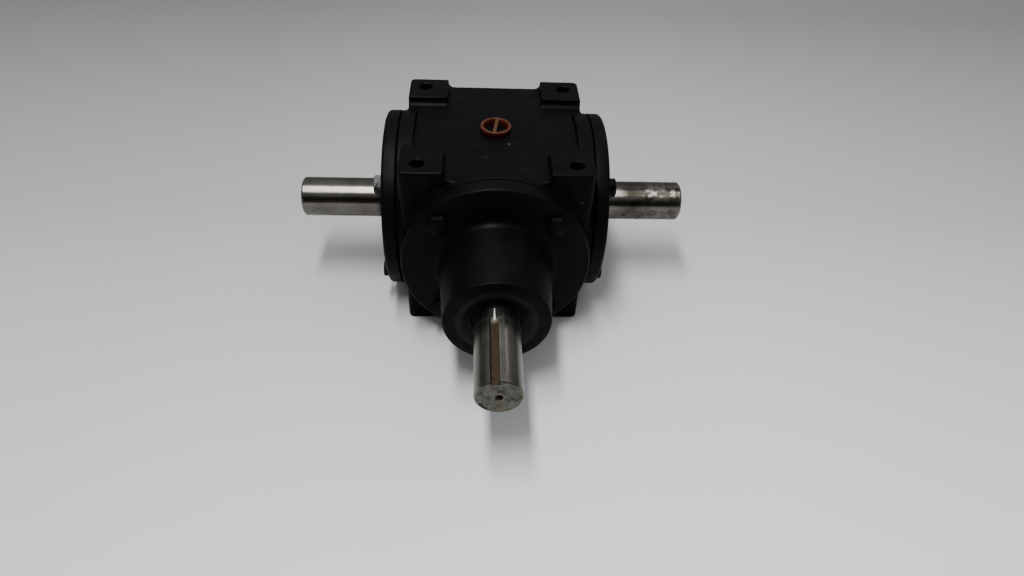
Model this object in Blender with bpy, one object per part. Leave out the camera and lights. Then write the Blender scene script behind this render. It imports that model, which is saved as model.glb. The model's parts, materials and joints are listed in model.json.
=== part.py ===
"""Right-angle bevel gearbox with one input shaft and a cross shaft that comes out on both sides.

The frame: +X to the right, +Y to the rear, +Z up. The origin is the middle of the housing's underside,
straight below the point where the two shaft axes cross. Lengths are in metres.
"""

from math import acos, asin, atan, atan2, cos, pi, radians, sin, sqrt, tan

import bmesh
import bpy
from mathutils import Matrix

MM = 0.001
GAP = 0.3 * MM  # between pieces that touch
PAST = 5.0 * MM  # how far a cutter reaches past the face it opens

# Shaft ends
SHAFT_R = 31.75 / 2 * MM
CROSS_REACH = 156.0 * MM
INPUT_REACH = 206.5 * MM
CROSS_CHAMFER = 1.6 * MM
INPUT_CHAMFER = 1.0 * MM
CENTRE_HOLE_R = 2.6 * MM
CENTRE_DRILL_R = 1.2 * MM
CENTRE_CONE_DEPTH = 2.4 * MM
CENTRE_DRILL_DEPTH = 8.0 * MM
KEYWAY_WIDTH = 6.35 * MM
KEYWAY_DEPTH = 3.2 * MM
KEYWAY_CUTTER_R = 30.5 * MM
ARC_STEPS = 7  # along the arc the cutter leaves
INPUT_KEYWAY_START = 158.0 * MM
INPUT_KEYWAY_TURN = radians(10.0)
CROSS_KEYWAY_START = 108.0 * MM
CROSS_KEYWAY_TURN = radians(20.0)  # from straight down towards the rear

# Housing
HALF_WIDTH = 69.7 * MM
HALF_HEIGHT = 64.9 * MM  # also the height of the shaft axes above the underside
PAD_HEIGHT = 6.5 * MM
PAD_SIDE = 31.5 * MM
PAD_ROOT = 8.0 * MM  # how far a pad goes down into the box
PAD_INSET = 0.05 * MM  # of a pad's outer sides from the box's
BOX_EDGE = 2.5 * MM
MOUNT_HOLE_R = 5.1 * MM
MOUNT_HOLE_AT = 56.7 * MM
MOUNT_HOLE_DEPTH = 20.0 * MM
BOSS_START = 62.0 * MM
BOSS_FACE = 73.2 * MM
HOUSING_BORE_R = 51.0 * MM
CAVITY_R = 54.0 * MM
CAVITY_HALF_HEIGHT = 53.0 * MM

# Flanges, covers and their bolts
FLANGE_R = 70.6 * MM
SHIM_THICKNESS = 0.6 * MM
SHIM_INSET = 1.0 * MM  # of a shim's edges from the flange's rim and the bore
FLANGE_SEAT = BOSS_FACE + SHIM_THICKNESS + 2 * GAP
SPIGOT_R = HOUSING_BORE_R - 2 * GAP
SPIGOT_END = 60.0 * MM
COVER_FACE = 84.8 * MM
QUILL_FLANGE_FACE = 86.9 * MM
QUILL_NOSE_END = 144.0 * MM
QUILL_ROOT_R = 41.5 * MM
QUILL_NOSE_R = 37.8 * MM
QUILL_FILLET = 6.0 * MM
EDGE = 1.5 * MM
BOLT_R = 4.0 * MM
BOLT_HEAD_FLATS = 13.0 * MM
BOLT_HEAD_HEIGHT = 5.3 * MM
BOLT_HEAD_EDGE = 0.9 * MM
BOLT_LENGTH = 30.0 * MM
BOLT_HOLE_DEPTH = 21.0 * MM  # into the housing
BOLT_OFFSET = 41.7 * MM  # of a bolt from the shaft axis, both ways across it
HOLE_CLEARANCE = 0.3 * MM

# Bearings and seals, 35 x 62 mm
SEAT_R = 17.5 * MM
BEARING_R = 31.0 * MM
BEARING_WIDTH = 16.0 * MM
BEARING_START = SPIGOT_END + GAP
ROLLER_COUNT = 13
ROLLER_BIG_R = 3.2 * MM
ROLLER_SMALL_R = 2.7 * MM
PITCH_BIG_R = 25.9 * MM
PITCH_SMALL_R = 23.6 * MM
ROLLER_START = 1.8 * MM
ROLLER_LENGTH = 12.0 * MM
RACE_UNDERCUT = 1.8 * MM  # of an inner race's ribs below the circle of roller axes
LIP_R = 28.5 * MM
OUTER_BEARING_START = 115.5 * MM
SEAL_WIDTH = 7.0 * MM
SEAL_WALL = 2.0 * MM
SEAL_LIP_ROOT = 3.0 * MM  # from the lip's edge out to its root
SEAT_END = 2.5 * MM  # the seat of a seal ends this far inside its face
SEAT_CHAMFER = 1.0 * MM

# Bevel gears
TEETH = 20
MODULE = 4.4 * MM
PRESSURE = radians(20.0)
CONE = radians(45.0)
FACE_WIDTH = 18.0 * MM
BACKLASH = 0.25 * MM  # taken off each flank
FLANK_STEPS = 2
HUB_BACK = SPIGOT_END - GAP
HUB_R = 27.0 * MM
HUB_TAPER = 1.0 * MM
BACK_SLOPE = 4.0 * MM  # of the bevel between the teeth and the back
TOE_LAND = 3.0 * MM  # from the teeth in to the flat front
GEAR_FRONT = 29.2 * MM
PINION_SEAT_R = 16.0 * MM
GEAR_SEAT_R = 19.0 * MM
KEY_WIDTH = 8.0 * MM
KEY_START = 33.0 * MM
KEY_END = 56.0 * MM
KEY_IN_SHAFT = 4.0 * MM
KEY_IN_HUB = 3.0 * MM

# The middle of the shafts
PINION_SHAFT_END = 25.5 * MM
CIRCLIP_AT = 27.3 * MM
CIRCLIP_THICKNESS = 1.5 * MM
CIRCLIP_GROOVE = 1.0 * MM
CIRCLIP_PLAY = 0.2 * MM  # in its groove
CIRCLIP_WIDTH = 4.0 * MM
CIRCLIP_OPENING = 5.0 * MM
SPACER_WALL = 3.5 * MM
LOCKNUT_WIDTH = 4.0 * MM
LOCKNUT_WALL = 6.5 * MM
LOCKNUT_SLOT_WIDTH = 5.0 * MM
LOCKNUT_SLOT_DEPTH = 2.5 * MM
COLLAR_R = 23.0 * MM
COLLAR_WIDTH = 7.0 * MM
COLLAR_SLOPE = 3.0 * MM
CROSS_MIDDLE_R = 20.0 * MM

# Plugs
FILLER_R = 12.0 * MM
FILLER_RISE = 4.2 * MM
FILLER_WALL = 2.5 * MM
FILLER_THREAD_R = 10.0 * MM
FILLER_THREAD_LENGTH = 12.0 * MM
FILLER_EDGE = 0.8 * MM
FILLER_FLOOR_R = 7.6 * MM
FILLER_FLOOR_DEPTH = 4.0 * MM  # of the cup's floor below the seat
FILLER_WEB_WIDTH = 2.7 * MM
FILLER_WEB_END = 9.7 * MM
FILLER_WEB_DROP = 0.5 * MM  # of the web's top below the rim
SMALL_PLUG_R = 6.5 * MM
SMALL_PLUG_RIM = 1.3 * MM  # out of the rear face
SMALL_PLUG_DEPTH = 11.0 * MM
SQUARE_FLATS = 8.0 * MM
SQUARE_RISE = 8.0 * MM
LEVEL_AT = -6.0 * MM  # heights of the rear plugs from the shaft axes
DRAIN_AT = -42.0 * MM

ROUND = 36  # segments of the large turned pieces
FINE = 24  # segments of shafts
COARSE = 20  # segments of bearings, seals and rings
SMALL = 12  # segments of the rear plugs
HOLE = 10  # segments of bolt holes

ACROSS_X = Matrix.Rotation(pi / 2, 4, "Y")
TO_LEFT = Matrix.Rotation(-pi / 2, 4, "Y")
TO_FRONT = Matrix.Rotation(pi / 2, 4, "X")


def material(name, colour, roughness, metallic):
    made = bpy.data.materials.new(name)
    made.use_nodes = True
    shader = made.node_tree.nodes["Principled BSDF"]
    shader.inputs["Base Color"].default_value = (*colour, 1.0)
    shader.inputs["Roughness"].default_value = roughness
    shader.inputs["Metallic"].default_value = metallic
    return made


def empty(name):
    made = bpy.data.objects.new(name, None)
    made.location = (0, 0, HALF_HEIGHT)
    bpy.context.collection.objects.link(made)
    return made


def mesh_object(name, bm, look, parent, turn=None):
    """Makes the object of a bmesh whose own +Z is turned to its direction, on its parent's axis."""
    bmesh.ops.recalc_face_normals(bm, faces=bm.faces)
    mesh = bpy.data.meshes.new(name)
    bm.to_mesh(mesh)
    bm.free()
    mesh.shade_smooth()
    mesh.set_sharp_from_angle(angle=radians(35))
    if look:
        mesh.materials.append(look)
    made = bpy.data.objects.new(name, mesh)
    made.parent = parent
    if turn:
        made.matrix_basis = turn
    bpy.context.collection.objects.link(made)
    return made


def cutter_object(name, bm, parent, turn=None):
    made = mesh_object(name, bm, None, parent, turn)
    made.hide_render = True
    made.display_type = "WIRE"
    return made


def boolean(target, tool, operation="DIFFERENCE"):
    modifier = target.modifiers.new(tool.name, "BOOLEAN")
    modifier.object = tool
    modifier.operation = operation
    modifier.solver = "EXACT"


def turned(outline, segments, closed=True):
    """Spins an outline of (height, radius) points round the Z axis."""
    bm = bmesh.new()
    points = [bm.verts.new((radius, 0, height)) for height, radius in outline]
    pairs = list(zip(points, points[1:]))
    if closed:
        pairs.append((points[-1], points[0]))
    edges = [bm.edges.new(pair) for pair in pairs]
    bmesh.ops.spin(
        bm, geom=points + edges, cent=(0, 0, 0), axis=(0, 0, 1), angle=2 * pi, steps=segments
    )
    bmesh.ops.remove_doubles(bm, verts=bm.verts, dist=1e-6)
    return bm


def add_box(bm, low, high, bevel=0.0):
    size = [top - bottom for bottom, top in zip(low, high)]
    middle = [(top + bottom) / 2 for bottom, top in zip(low, high)]
    place = Matrix.Translation(middle) @ Matrix.Diagonal((*size, 1))
    verts = bmesh.ops.create_cube(bm, size=1.0, matrix=place)["verts"]
    if bevel:
        edges = {edge for vert in verts for edge in vert.link_edges}
        bmesh.ops.bevel(bm, geom=list(edges), offset=bevel, segments=2, profile=0.5, affect="EDGES")


def add_cylinder(bm, start, end, radius, segments, at=(0, 0)):
    bmesh.ops.create_cone(
        bm,
        cap_ends=True,
        segments=segments,
        radius1=radius,
        radius2=radius,
        depth=end - start,
        matrix=Matrix.Translation((at[0], at[1], (start + end) / 2)),
    )


def prism(outline, width):
    """A plate of the given width across Y, with an outline of (z, x) points."""
    bm = bmesh.new()
    low = [bm.verts.new((x, -width / 2, z)) for z, x in outline]
    bottom = bm.faces.new(low)
    top = bmesh.ops.extrude_face_region(bm, geom=[bottom])["geom"]
    moved = [item for item in top if isinstance(item, bmesh.types.BMVert)]
    bmesh.ops.translate(bm, verts=moved, vec=(0, width, 0))
    return bm


def bolt_places():
    return [(sx * BOLT_OFFSET, sy * BOLT_OFFSET) for sx in (-1, 1) for sy in (-1, 1)]


def bolt_holes(start, end):
    bm = bmesh.new()
    for place in bolt_places():
        add_cylinder(bm, start, end, BOLT_R + HOLE_CLEARANCE, HOLE, place)
    return bm


# ---------------------------------------------------------------- housing


def make_housing(look, root):
    body = bmesh.new()
    sides = (HALF_WIDTH, HALF_WIDTH, HALF_HEIGHT)
    add_box(body, [-side for side in sides], sides, bevel=BOX_EDGE)
    housing = mesh_object("housing", body, look, root)

    pads = bmesh.new()
    inner = HALF_WIDTH - PAD_SIDE
    outer = HALF_WIDTH - PAD_INSET
    for sx in (-1, 1):
        for sy in (-1, 1):
            for sz in (-1, 1):
                xs = sorted((sx * inner, sx * outer))
                ys = sorted((sy * inner, sy * outer))
                zs = sorted((sz * (HALF_HEIGHT - PAD_ROOT), sz * (HALF_HEIGHT + PAD_HEIGHT)))
                add_box(pads, (xs[0], ys[0], zs[0]), (xs[1], ys[1], zs[1]))
    boolean(housing, cutter_object("pads_shape", pads, root), "UNION")

    for name, turn in (("right", ACROSS_X), ("left", TO_LEFT), ("front", TO_FRONT)):
        boss = turned(
            [
                (BOSS_START, 0),
                (BOSS_START, FLANGE_R),
                (BOSS_FACE, FLANGE_R),
                (BOSS_FACE, 0),
            ],
            ROUND,
            closed=False,
        )
        boolean(housing, cutter_object(f"{name}_boss_shape", boss, root, turn), "UNION")

    cavity = bmesh.new()
    add_cylinder(cavity, -CAVITY_HALF_HEIGHT, CAVITY_HALF_HEIGHT, CAVITY_R, FINE)
    boolean(housing, cutter_object("cavity_shape", cavity, root))
    cross_bore = bmesh.new()
    add_cylinder(cross_bore, -BOSS_FACE - PAST, BOSS_FACE + PAST, HOUSING_BORE_R, ROUND)
    boolean(housing, cutter_object("cross_bore_shape", cross_bore, root, ACROSS_X))
    front_bore = bmesh.new()
    add_cylinder(front_bore, 0, BOSS_FACE + PAST, HOUSING_BORE_R, ROUND)
    boolean(housing, cutter_object("front_bore_shape", front_bore, root, TO_FRONT))

    for name, turn in (("right", ACROSS_X), ("left", TO_LEFT), ("front", TO_FRONT)):
        holes = bolt_holes(BOSS_FACE - BOLT_HOLE_DEPTH, BOSS_FACE + PAST)
        boolean(housing, cutter_object(f"{name}_holes_shape", holes, root, turn))

    holes = bmesh.new()
    top = HALF_HEIGHT + PAD_HEIGHT
    for sx in (-1, 1):
        for sy in (-1, 1):
            place = (sx * MOUNT_HOLE_AT, sy * MOUNT_HOLE_AT)
            add_cylinder(holes, top - MOUNT_HOLE_DEPTH, top + PAST, MOUNT_HOLE_R, HOLE, place)
            add_cylinder(holes, -top - PAST, MOUNT_HOLE_DEPTH - top, MOUNT_HOLE_R, HOLE, place)
    add_cylinder(holes, 0, top, FILLER_THREAD_R + HOLE_CLEARANCE, COARSE)
    boolean(housing, cutter_object("mount_holes_shape", holes, root))

    rear = bmesh.new()
    for height in (LEVEL_AT, DRAIN_AT):
        add_cylinder(rear, -HALF_WIDTH - PAST, 0, SMALL_PLUG_R + HOLE_CLEARANCE, SMALL, (0, height))
    boolean(housing, cutter_object("rear_holes_shape", rear, root, TO_FRONT))


# ---------------------------------------------------------------- covers, quill, shims and bolts


def cover_outline():
    bore = BEARING_R + GAP
    lip_start = BEARING_START + BEARING_WIDTH + GAP
    lip_end = COVER_FACE - SEAL_WIDTH - 2 * GAP
    return [
        (SPIGOT_END, bore),
        (SPIGOT_END, SPIGOT_R),
        (FLANGE_SEAT, SPIGOT_R),
        (FLANGE_SEAT, FLANGE_R),
        (COVER_FACE - EDGE, FLANGE_R),
        (COVER_FACE, FLANGE_R - EDGE),
        (COVER_FACE, bore),
        (lip_end, bore),
        (lip_end, LIP_R),
        (lip_start, LIP_R),
        (lip_start, bore),
    ]


def quill_outline():
    bore = BEARING_R + GAP
    bend = QUILL_FILLET * (1 - sqrt(0.5))
    return [
        (SPIGOT_END, bore),
        (SPIGOT_END, SPIGOT_R),
        (FLANGE_SEAT, SPIGOT_R),
        (FLANGE_SEAT, FLANGE_R),
        (QUILL_FLANGE_FACE - EDGE, FLANGE_R),
        (QUILL_FLANGE_FACE, FLANGE_R - EDGE),
        (QUILL_FLANGE_FACE, QUILL_ROOT_R + QUILL_FILLET),
        (QUILL_FLANGE_FACE + bend, QUILL_ROOT_R + bend),
        (QUILL_FLANGE_FACE + QUILL_FILLET, QUILL_ROOT_R),
        (QUILL_NOSE_END - EDGE, QUILL_NOSE_R),
        (QUILL_NOSE_END, QUILL_NOSE_R - EDGE),
        (QUILL_NOSE_END, bore),
        (OUTER_BEARING_START - GAP, bore),
        (OUTER_BEARING_START - GAP, LIP_R),
        (BEARING_START + BEARING_WIDTH + GAP, LIP_R),
        (BEARING_START + BEARING_WIDTH + GAP, bore),
    ]


def make_flange(name, outline, look, root, turn):
    flange = mesh_object(name, turned(outline, ROUND), look, root, turn)
    holes = bolt_holes(FLANGE_SEAT - PAST, QUILL_FLANGE_FACE + PAST)
    boolean(flange, cutter_object(f"{name}_holes_shape", holes, root, turn))


def make_shim(name, look, root, turn):
    low = BOSS_FACE + GAP
    high = low + SHIM_THICKNESS
    bore = HOUSING_BORE_R + SHIM_INSET
    outline = [
        (low, bore),
        (low, FLANGE_R - SHIM_INSET),
        (high, FLANGE_R - SHIM_INSET),
        (high, bore),
    ]
    shim = mesh_object(name, turned(outline, COARSE), look, root, turn)
    holes = bolt_holes(low - PAST, high + PAST)
    boolean(shim, cutter_object(f"{name}_holes_shape", holes, root, turn))


def bolt_shape():
    """A hex bolt with its seat at height 0, its head above and its shank below."""
    corner_r = BOLT_HEAD_FLATS / sqrt(3)
    head = [
        (0, 0),
        (0, corner_r),
        (BOLT_HEAD_HEIGHT - BOLT_HEAD_EDGE, corner_r),
        (BOLT_HEAD_HEIGHT, corner_r - BOLT_HEAD_EDGE),
        (BOLT_HEAD_HEIGHT, 0),
    ]
    bm = turned(head, 6, closed=False)
    seat = [face for face in bm.faces if all(abs(vert.co.z) < 1e-7 for vert in face.verts)]
    joined = bmesh.ops.dissolve_faces(bm, faces=seat)["region"][0]
    rim = (corner_r - BOLT_R) * cos(pi / 6)
    bmesh.ops.inset_region(bm, faces=[joined], thickness=rim, use_even_offset=True)
    seat = min(bm.faces, key=lambda face: (round(face.calc_center_median().length, 6), face.calc_area()))
    grown = bmesh.ops.extrude_face_region(bm, geom=[seat])["geom"]
    tip = [item for item in grown if isinstance(item, bmesh.types.BMVert)]
    bmesh.ops.delete(bm, geom=[seat], context="FACES_ONLY")
    bmesh.ops.translate(bm, verts=tip, vec=(0, 0, -BOLT_LENGTH))
    return bm


def make_bolts(name, seat, look, root, turn):
    shared = None
    for number, (x, y) in enumerate(bolt_places(), start=1):
        place = turn @ Matrix.Translation((x, y, seat + GAP))
        if shared is None:
            first = mesh_object(f"{name}_{number}", bolt_shape(), look, root, place)
            shared = first.data
            continue
        bolt = bpy.data.objects.new(f"{name}_{number}", shared)
        bolt.parent = root
        bolt.matrix_basis = place
        bpy.context.collection.objects.link(bolt)


# ---------------------------------------------------------------- bearings and seals


def make_bearing(name, start, flipped, looks, parents, turn):
    """A taper roller bearing. Its large end is at start, or at the far end when flipped."""

    def placed(outline):
        if flipped:
            return [(start + BEARING_WIDTH - height, radius) for height, radius in outline]
        return [(start + height, radius) for height, radius in outline]

    big, small = ROLLER_START, ROLLER_START + ROLLER_LENGTH
    slope = (PITCH_SMALL_R + ROLLER_SMALL_R - PITCH_BIG_R - ROLLER_BIG_R) / ROLLER_LENGTH
    race_start = PITCH_BIG_R + ROLLER_BIG_R + GAP
    outer = [
        (big, race_start),
        (BEARING_WIDTH, race_start + slope * (BEARING_WIDTH - big)),
        (BEARING_WIDTH, BEARING_R),
        (big, BEARING_R),
    ]
    bore = SEAT_R + GAP
    inner = [
        (0, bore),
        (0, PITCH_BIG_R - RACE_UNDERCUT),
        (big - GAP, PITCH_BIG_R - RACE_UNDERCUT),
        (big - GAP, PITCH_BIG_R - ROLLER_BIG_R - GAP),
        (small + GAP, PITCH_SMALL_R - ROLLER_SMALL_R - GAP),
        (small + GAP, PITCH_SMALL_R - RACE_UNDERCUT),
        (BEARING_WIDTH, PITCH_SMALL_R - RACE_UNDERCUT),
        (BEARING_WIDTH, bore),
    ]
    root, shaft, cage = parents
    mesh_object(f"{name}_outer_race", turned(placed(outer), COARSE), looks["race"], root, turn)
    mesh_object(f"{name}_inner_race", turned(placed(inner), COARSE), looks["race"], shaft, turn)
    ends = placed([(big, PITCH_BIG_R), (small, PITCH_SMALL_R)])
    radii = (ROLLER_BIG_R, ROLLER_SMALL_R)
    mesh_object(f"{name}_roller_set", roller_set(ends, radii), looks["roller"], cage, turn)


def roller_section(pitch_r, roller_r):
    """One end of the ring of rollers: outer and inner points, joined between rollers by cage bars."""
    arc = [radians(angle) for angle in (20, 60, 120, 160)]
    outer, inner = [], []
    for number in range(ROLLER_COUNT):
        middle = 2 * pi * number / ROLLER_COUNT
        for angle in arc:
            along, out = -roller_r * cos(angle), roller_r * sin(angle)
            for points, side in ((outer, out), (inner, -out)):
                radius = pitch_r + side
                turn = middle + along / pitch_r
                points.append((radius * cos(turn), radius * sin(turn)))
    return outer, inner


def roller_set(ends, radii):
    bm = bmesh.new()
    rings = []
    for (height, pitch_r), roller_r in zip(ends, radii):
        for points in roller_section(pitch_r, roller_r):
            rings.append([bm.verts.new((x, y, height)) for x, y in points])
    outer_big, inner_big, outer_small, inner_small = rings
    for first, second in (
        (outer_big, outer_small),
        (outer_small, inner_small),
        (inner_small, inner_big),
        (inner_big, outer_big),
    ):
        for index in range(len(first)):
            after = (index + 1) % len(first)
            bm.faces.new((first[index], first[after], second[after], second[index]))
    return bm


def make_seal(name, face, look, root, turn):
    """A lip seal whose outer side lies just inside the given face."""
    high = face - GAP
    low = high - SEAL_WIDTH
    lip = SEAT_R + GAP
    outline = [
        (low, BEARING_R),
        (low, BEARING_R - SEAL_WALL),
        (high - SEAL_WALL, BEARING_R - SEAL_WALL),
        (high - SEAL_WALL, lip + SEAL_LIP_ROOT),
        (low + 1.5 * MM, lip + SEAL_LIP_ROOT),
        (low + 2.5 * MM, lip),
        (high - 0.5 * MM, lip + SEAL_LIP_ROOT / 2),
        (high, lip + SEAL_LIP_ROOT),
        (high, BEARING_R),
    ]
    mesh_object(name, turned(outline, COARSE), look, root, turn)


# ---------------------------------------------------------------- shafts, keys and small rings


def end_outline(reach, chamfer):
    """The last points of a shaft end: chamfer and centre hole, out to in."""
    return [
        (reach - chamfer, SHAFT_R),
        (reach, SHAFT_R - chamfer),
        (reach, CENTRE_HOLE_R),
        (reach - CENTRE_CONE_DEPTH, CENTRE_DRILL_R),
        (reach - CENTRE_DRILL_DEPTH, CENTRE_DRILL_R),
        (reach - CENTRE_DRILL_DEPTH, 0),
    ]


def keyway_cutter(start, end):
    """A slot along a shaft end: open at the end, running out over the cutter's arc at its start."""
    floor = SHAFT_R - KEYWAY_DEPTH
    centre = floor + KEYWAY_CUTTER_R
    outside = SHAFT_R + PAST
    reach = acos((centre - outside) / KEYWAY_CUTTER_R)
    arc = []
    for step in range(ARC_STEPS + 1):
        angle = reach * (1 - step / ARC_STEPS)
        arc.append((start - KEYWAY_CUTTER_R * sin(angle), centre - KEYWAY_CUTTER_R * cos(angle)))
    return prism([*arc, (end + PAST, floor), (end + PAST, outside)], KEYWAY_WIDTH)


def key_box(seat_r, gap):
    bm = bmesh.new()
    low = (seat_r - KEY_IN_SHAFT - gap, -KEY_WIDTH / 2 - gap, KEY_START - gap)
    high = (seat_r + KEY_IN_HUB + gap, KEY_WIDTH / 2 + gap, KEY_END + gap)
    add_box(bm, low, high)
    return bm


def make_input_shaft(look, shaft):
    seat_end = QUILL_NOSE_END - SEAT_END
    front = PINION_SHAFT_END
    outline = [
        (front, 0),
        (front, PINION_SEAT_R - SEAT_CHAMFER),
        (front + SEAT_CHAMFER, PINION_SEAT_R),
        (CIRCLIP_AT - CIRCLIP_PLAY, PINION_SEAT_R),
        (CIRCLIP_AT - CIRCLIP_PLAY, PINION_SEAT_R - CIRCLIP_GROOVE),
        (CIRCLIP_AT + CIRCLIP_THICKNESS + CIRCLIP_PLAY, PINION_SEAT_R - CIRCLIP_GROOVE),
        (CIRCLIP_AT + CIRCLIP_THICKNESS + CIRCLIP_PLAY, PINION_SEAT_R),
        (SPIGOT_END, PINION_SEAT_R),
        (SPIGOT_END, SEAT_R),
        (seat_end - SEAT_CHAMFER, SEAT_R),
        (seat_end, SHAFT_R),
        *end_outline(INPUT_REACH, INPUT_CHAMFER),
    ]
    made = mesh_object("input_shaft", turned(outline, FINE, closed=False), look, shaft, TO_FRONT)
    key_slot = cutter_object("pinion_key_slot_shape", key_box(PINION_SEAT_R, GAP), shaft, TO_FRONT)
    boolean(made, key_slot)
    turn = TO_FRONT @ Matrix.Rotation(pi / 2 + INPUT_KEYWAY_TURN, 4, "Z")
    keyway = keyway_cutter(INPUT_KEYWAY_START, INPUT_REACH)
    boolean(made, cutter_object("input_keyway_shape", keyway, shaft, turn))


def make_cross_shaft(look, shaft):
    seat_end = COVER_FACE - SEAT_END
    right_end = end_outline(CROSS_REACH, CROSS_CHAMFER)
    left_end = [(-height, radius) for height, radius in reversed(right_end)]
    collar = GEAR_FRONT - GAP
    outline = [
        *left_end,
        (-seat_end, SHAFT_R),
        (-seat_end + SEAT_CHAMFER, SEAT_R),
        (-SPIGOT_END, SEAT_R),
        (-SPIGOT_END, GEAR_SEAT_R),
        (-collar, GEAR_SEAT_R),
        (-collar, COLLAR_R),
        (-collar + COLLAR_WIDTH, COLLAR_R),
        (-collar + COLLAR_WIDTH + COLLAR_SLOPE, CROSS_MIDDLE_R),
        (SPIGOT_END, CROSS_MIDDLE_R),
        (SPIGOT_END, SEAT_R),
        (seat_end - SEAT_CHAMFER, SEAT_R),
        (seat_end, SHAFT_R),
        *right_end,
    ]
    made = mesh_object("cross_shaft", turned(outline, FINE, closed=False), look, shaft, ACROSS_X)
    boolean(made, cutter_object("gear_key_slot_shape", key_box(GEAR_SEAT_R, GAP), shaft, TO_LEFT))
    for name, turn, angle in (
        ("right", ACROSS_X, CROSS_KEYWAY_TURN),
        ("left", TO_LEFT, pi - CROSS_KEYWAY_TURN),
    ):
        turn = turn @ Matrix.Rotation(angle, 4, "Z")
        keyway = keyway_cutter(CROSS_KEYWAY_START, CROSS_REACH)
        boolean(made, cutter_object(f"{name}_keyway_shape", keyway, shaft, turn))


def make_ring(name, start, end, inner_r, outer_r, look, parent, turn):
    outline = [(start, inner_r), (start, outer_r), (end, outer_r), (end, inner_r)]
    return mesh_object(name, turned(outline, COARSE), look, parent, turn)


def make_spacer(look, shaft):
    bore = SEAT_R + GAP
    start = BEARING_START + BEARING_WIDTH + GAP
    end = OUTER_BEARING_START - GAP
    make_ring("bearing_spacer", start, end, bore, bore + SPACER_WALL, look, shaft, TO_FRONT)


def make_locknut(look, shaft):
    bore = SEAT_R + GAP
    outer_r = bore + LOCKNUT_WALL
    start = OUTER_BEARING_START + BEARING_WIDTH + GAP
    end = start + LOCKNUT_WIDTH
    nut = make_ring("shaft_locknut", start, end, bore, outer_r, look, shaft, TO_FRONT)
    slots = bmesh.new()
    half = LOCKNUT_SLOT_WIDTH / 2
    for sign in (-1, 1):
        low, high = sorted((sign * (outer_r - LOCKNUT_SLOT_DEPTH), sign * (outer_r + PAST)))
        add_box(slots, (low, -half, start - PAST), (high, half, end + PAST))
        add_box(slots, (-half, low, start - PAST), (half, high, end + PAST))
    boolean(nut, cutter_object("locknut_slots_shape", slots, shaft, TO_FRONT))


def make_circlip(look, shaft):
    inner_r = PINION_SEAT_R - CIRCLIP_GROOVE + CIRCLIP_PLAY
    outer_r = inner_r + CIRCLIP_WIDTH
    end = CIRCLIP_AT + CIRCLIP_THICKNESS
    circlip = make_ring("pinion_circlip", CIRCLIP_AT, end, inner_r, outer_r, look, shaft, TO_FRONT)
    opening = bmesh.new()
    half = CIRCLIP_OPENING / 2
    add_box(opening, (0, -half, CIRCLIP_AT - PAST), (outer_r + PAST, half, end + PAST))
    boolean(circlip, cutter_object("circlip_opening_shape", opening, shaft, TO_FRONT))


# ---------------------------------------------------------------- bevel gears


def involute_turn(polar, base):
    """How far a spherical involute has turned round its gear's axis at a polar angle from that axis."""
    unwound = acos(min(1.0, cos(polar) / cos(base)))
    return unwound / sin(base) - atan2(tan(unwound), sin(base))


def tooth_flank():
    """(polar angle, half thickness as an angle round the axis) of a tooth, from its tip to its root."""
    cone_distance = MODULE * TEETH / 2 / sin(CONE)
    tip = CONE + atan(MODULE / cone_distance)
    foot = CONE - atan(1.25 * MODULE / cone_distance)
    base = asin(sin(CONE) * cos(PRESSURE))
    half_at_pitch = pi / (2 * TEETH) - BACKLASH / (MODULE * TEETH / 2)
    flank = []
    for step in range(FLANK_STEPS + 1):
        polar = tip + (base - tip) * step / FLANK_STEPS
        half = half_at_pitch + involute_turn(CONE, base) - involute_turn(polar, base)
        flank.append((polar, half))
    flank.append((foot, flank[-1][1] + radians(0.5)))
    return flank


def bevel_gear(bore_r, phase):
    """A straight bevel gear with its apex at the origin and its back up the Z axis."""
    bm = bmesh.new()
    heel = MODULE * TEETH / 2 / sin(CONE)
    toe = heel - FACE_WIDTH
    flank = tooth_flank()
    foot = flank[-1][0]
    pitch = 2 * pi / TEETH

    def at(distance, polar, turn):
        radius = distance * sin(polar)
        return bm.verts.new((radius * cos(turn), radius * sin(turn), distance * cos(polar)))

    heel_rim, toe_rim = [], []
    for tooth in range(TEETH):
        middle = phase + tooth * pitch
        outline = [(polar, middle - half) for polar, half in reversed(flank)]
        outline += [(polar, middle + half) for polar, half in flank]
        heel_points = [at(heel, polar, turn) for polar, turn in outline]
        toe_points = [at(toe, polar, turn) for polar, turn in outline]
        for index in range(len(outline) - 1):
            bm.faces.new(
                (heel_points[index], heel_points[index + 1], toe_points[index + 1], toe_points[index])
            )
        count = len(outline)
        for points in (heel_points, toe_points):
            for index in range(count // 2 - 1):
                other = count - 1 - index
                bm.faces.new((points[index], points[index + 1], points[other - 1], points[other]))
        heel_rim += [heel_points[0], heel_points[-1]]
        toe_rim += [toe_points[0], toe_points[-1]]

    def ring_of(height, radius):
        turns = [atan2(vert.co.y, vert.co.x) for vert in heel_rim]
        return [bm.verts.new((radius * cos(turn), radius * sin(turn), height)) for turn in turns]

    web_back = heel * cos(foot) + BACK_SLOPE
    rings = [
        heel_rim,
        ring_of(web_back, heel * sin(foot) - BACK_SLOPE),
        ring_of(web_back, HUB_R),
        ring_of(HUB_BACK, HUB_R - HUB_TAPER),
        ring_of(HUB_BACK, bore_r),
        ring_of(GEAR_FRONT, bore_r),
        ring_of(GEAR_FRONT, toe * sin(foot) - TOE_LAND),
        toe_rim,
    ]
    for first, second in zip(rings, rings[1:]):
        for index in range(len(first)):
            after = (index + 1) % len(first)
            bm.faces.new((first[index], first[after], second[after], second[index]))
    for index in range(1, len(heel_rim), 2):
        after = (index + 1) % len(heel_rim)
        bm.faces.new((heel_rim[index], heel_rim[after], toe_rim[after], toe_rim[index]))
    return bm


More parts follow.
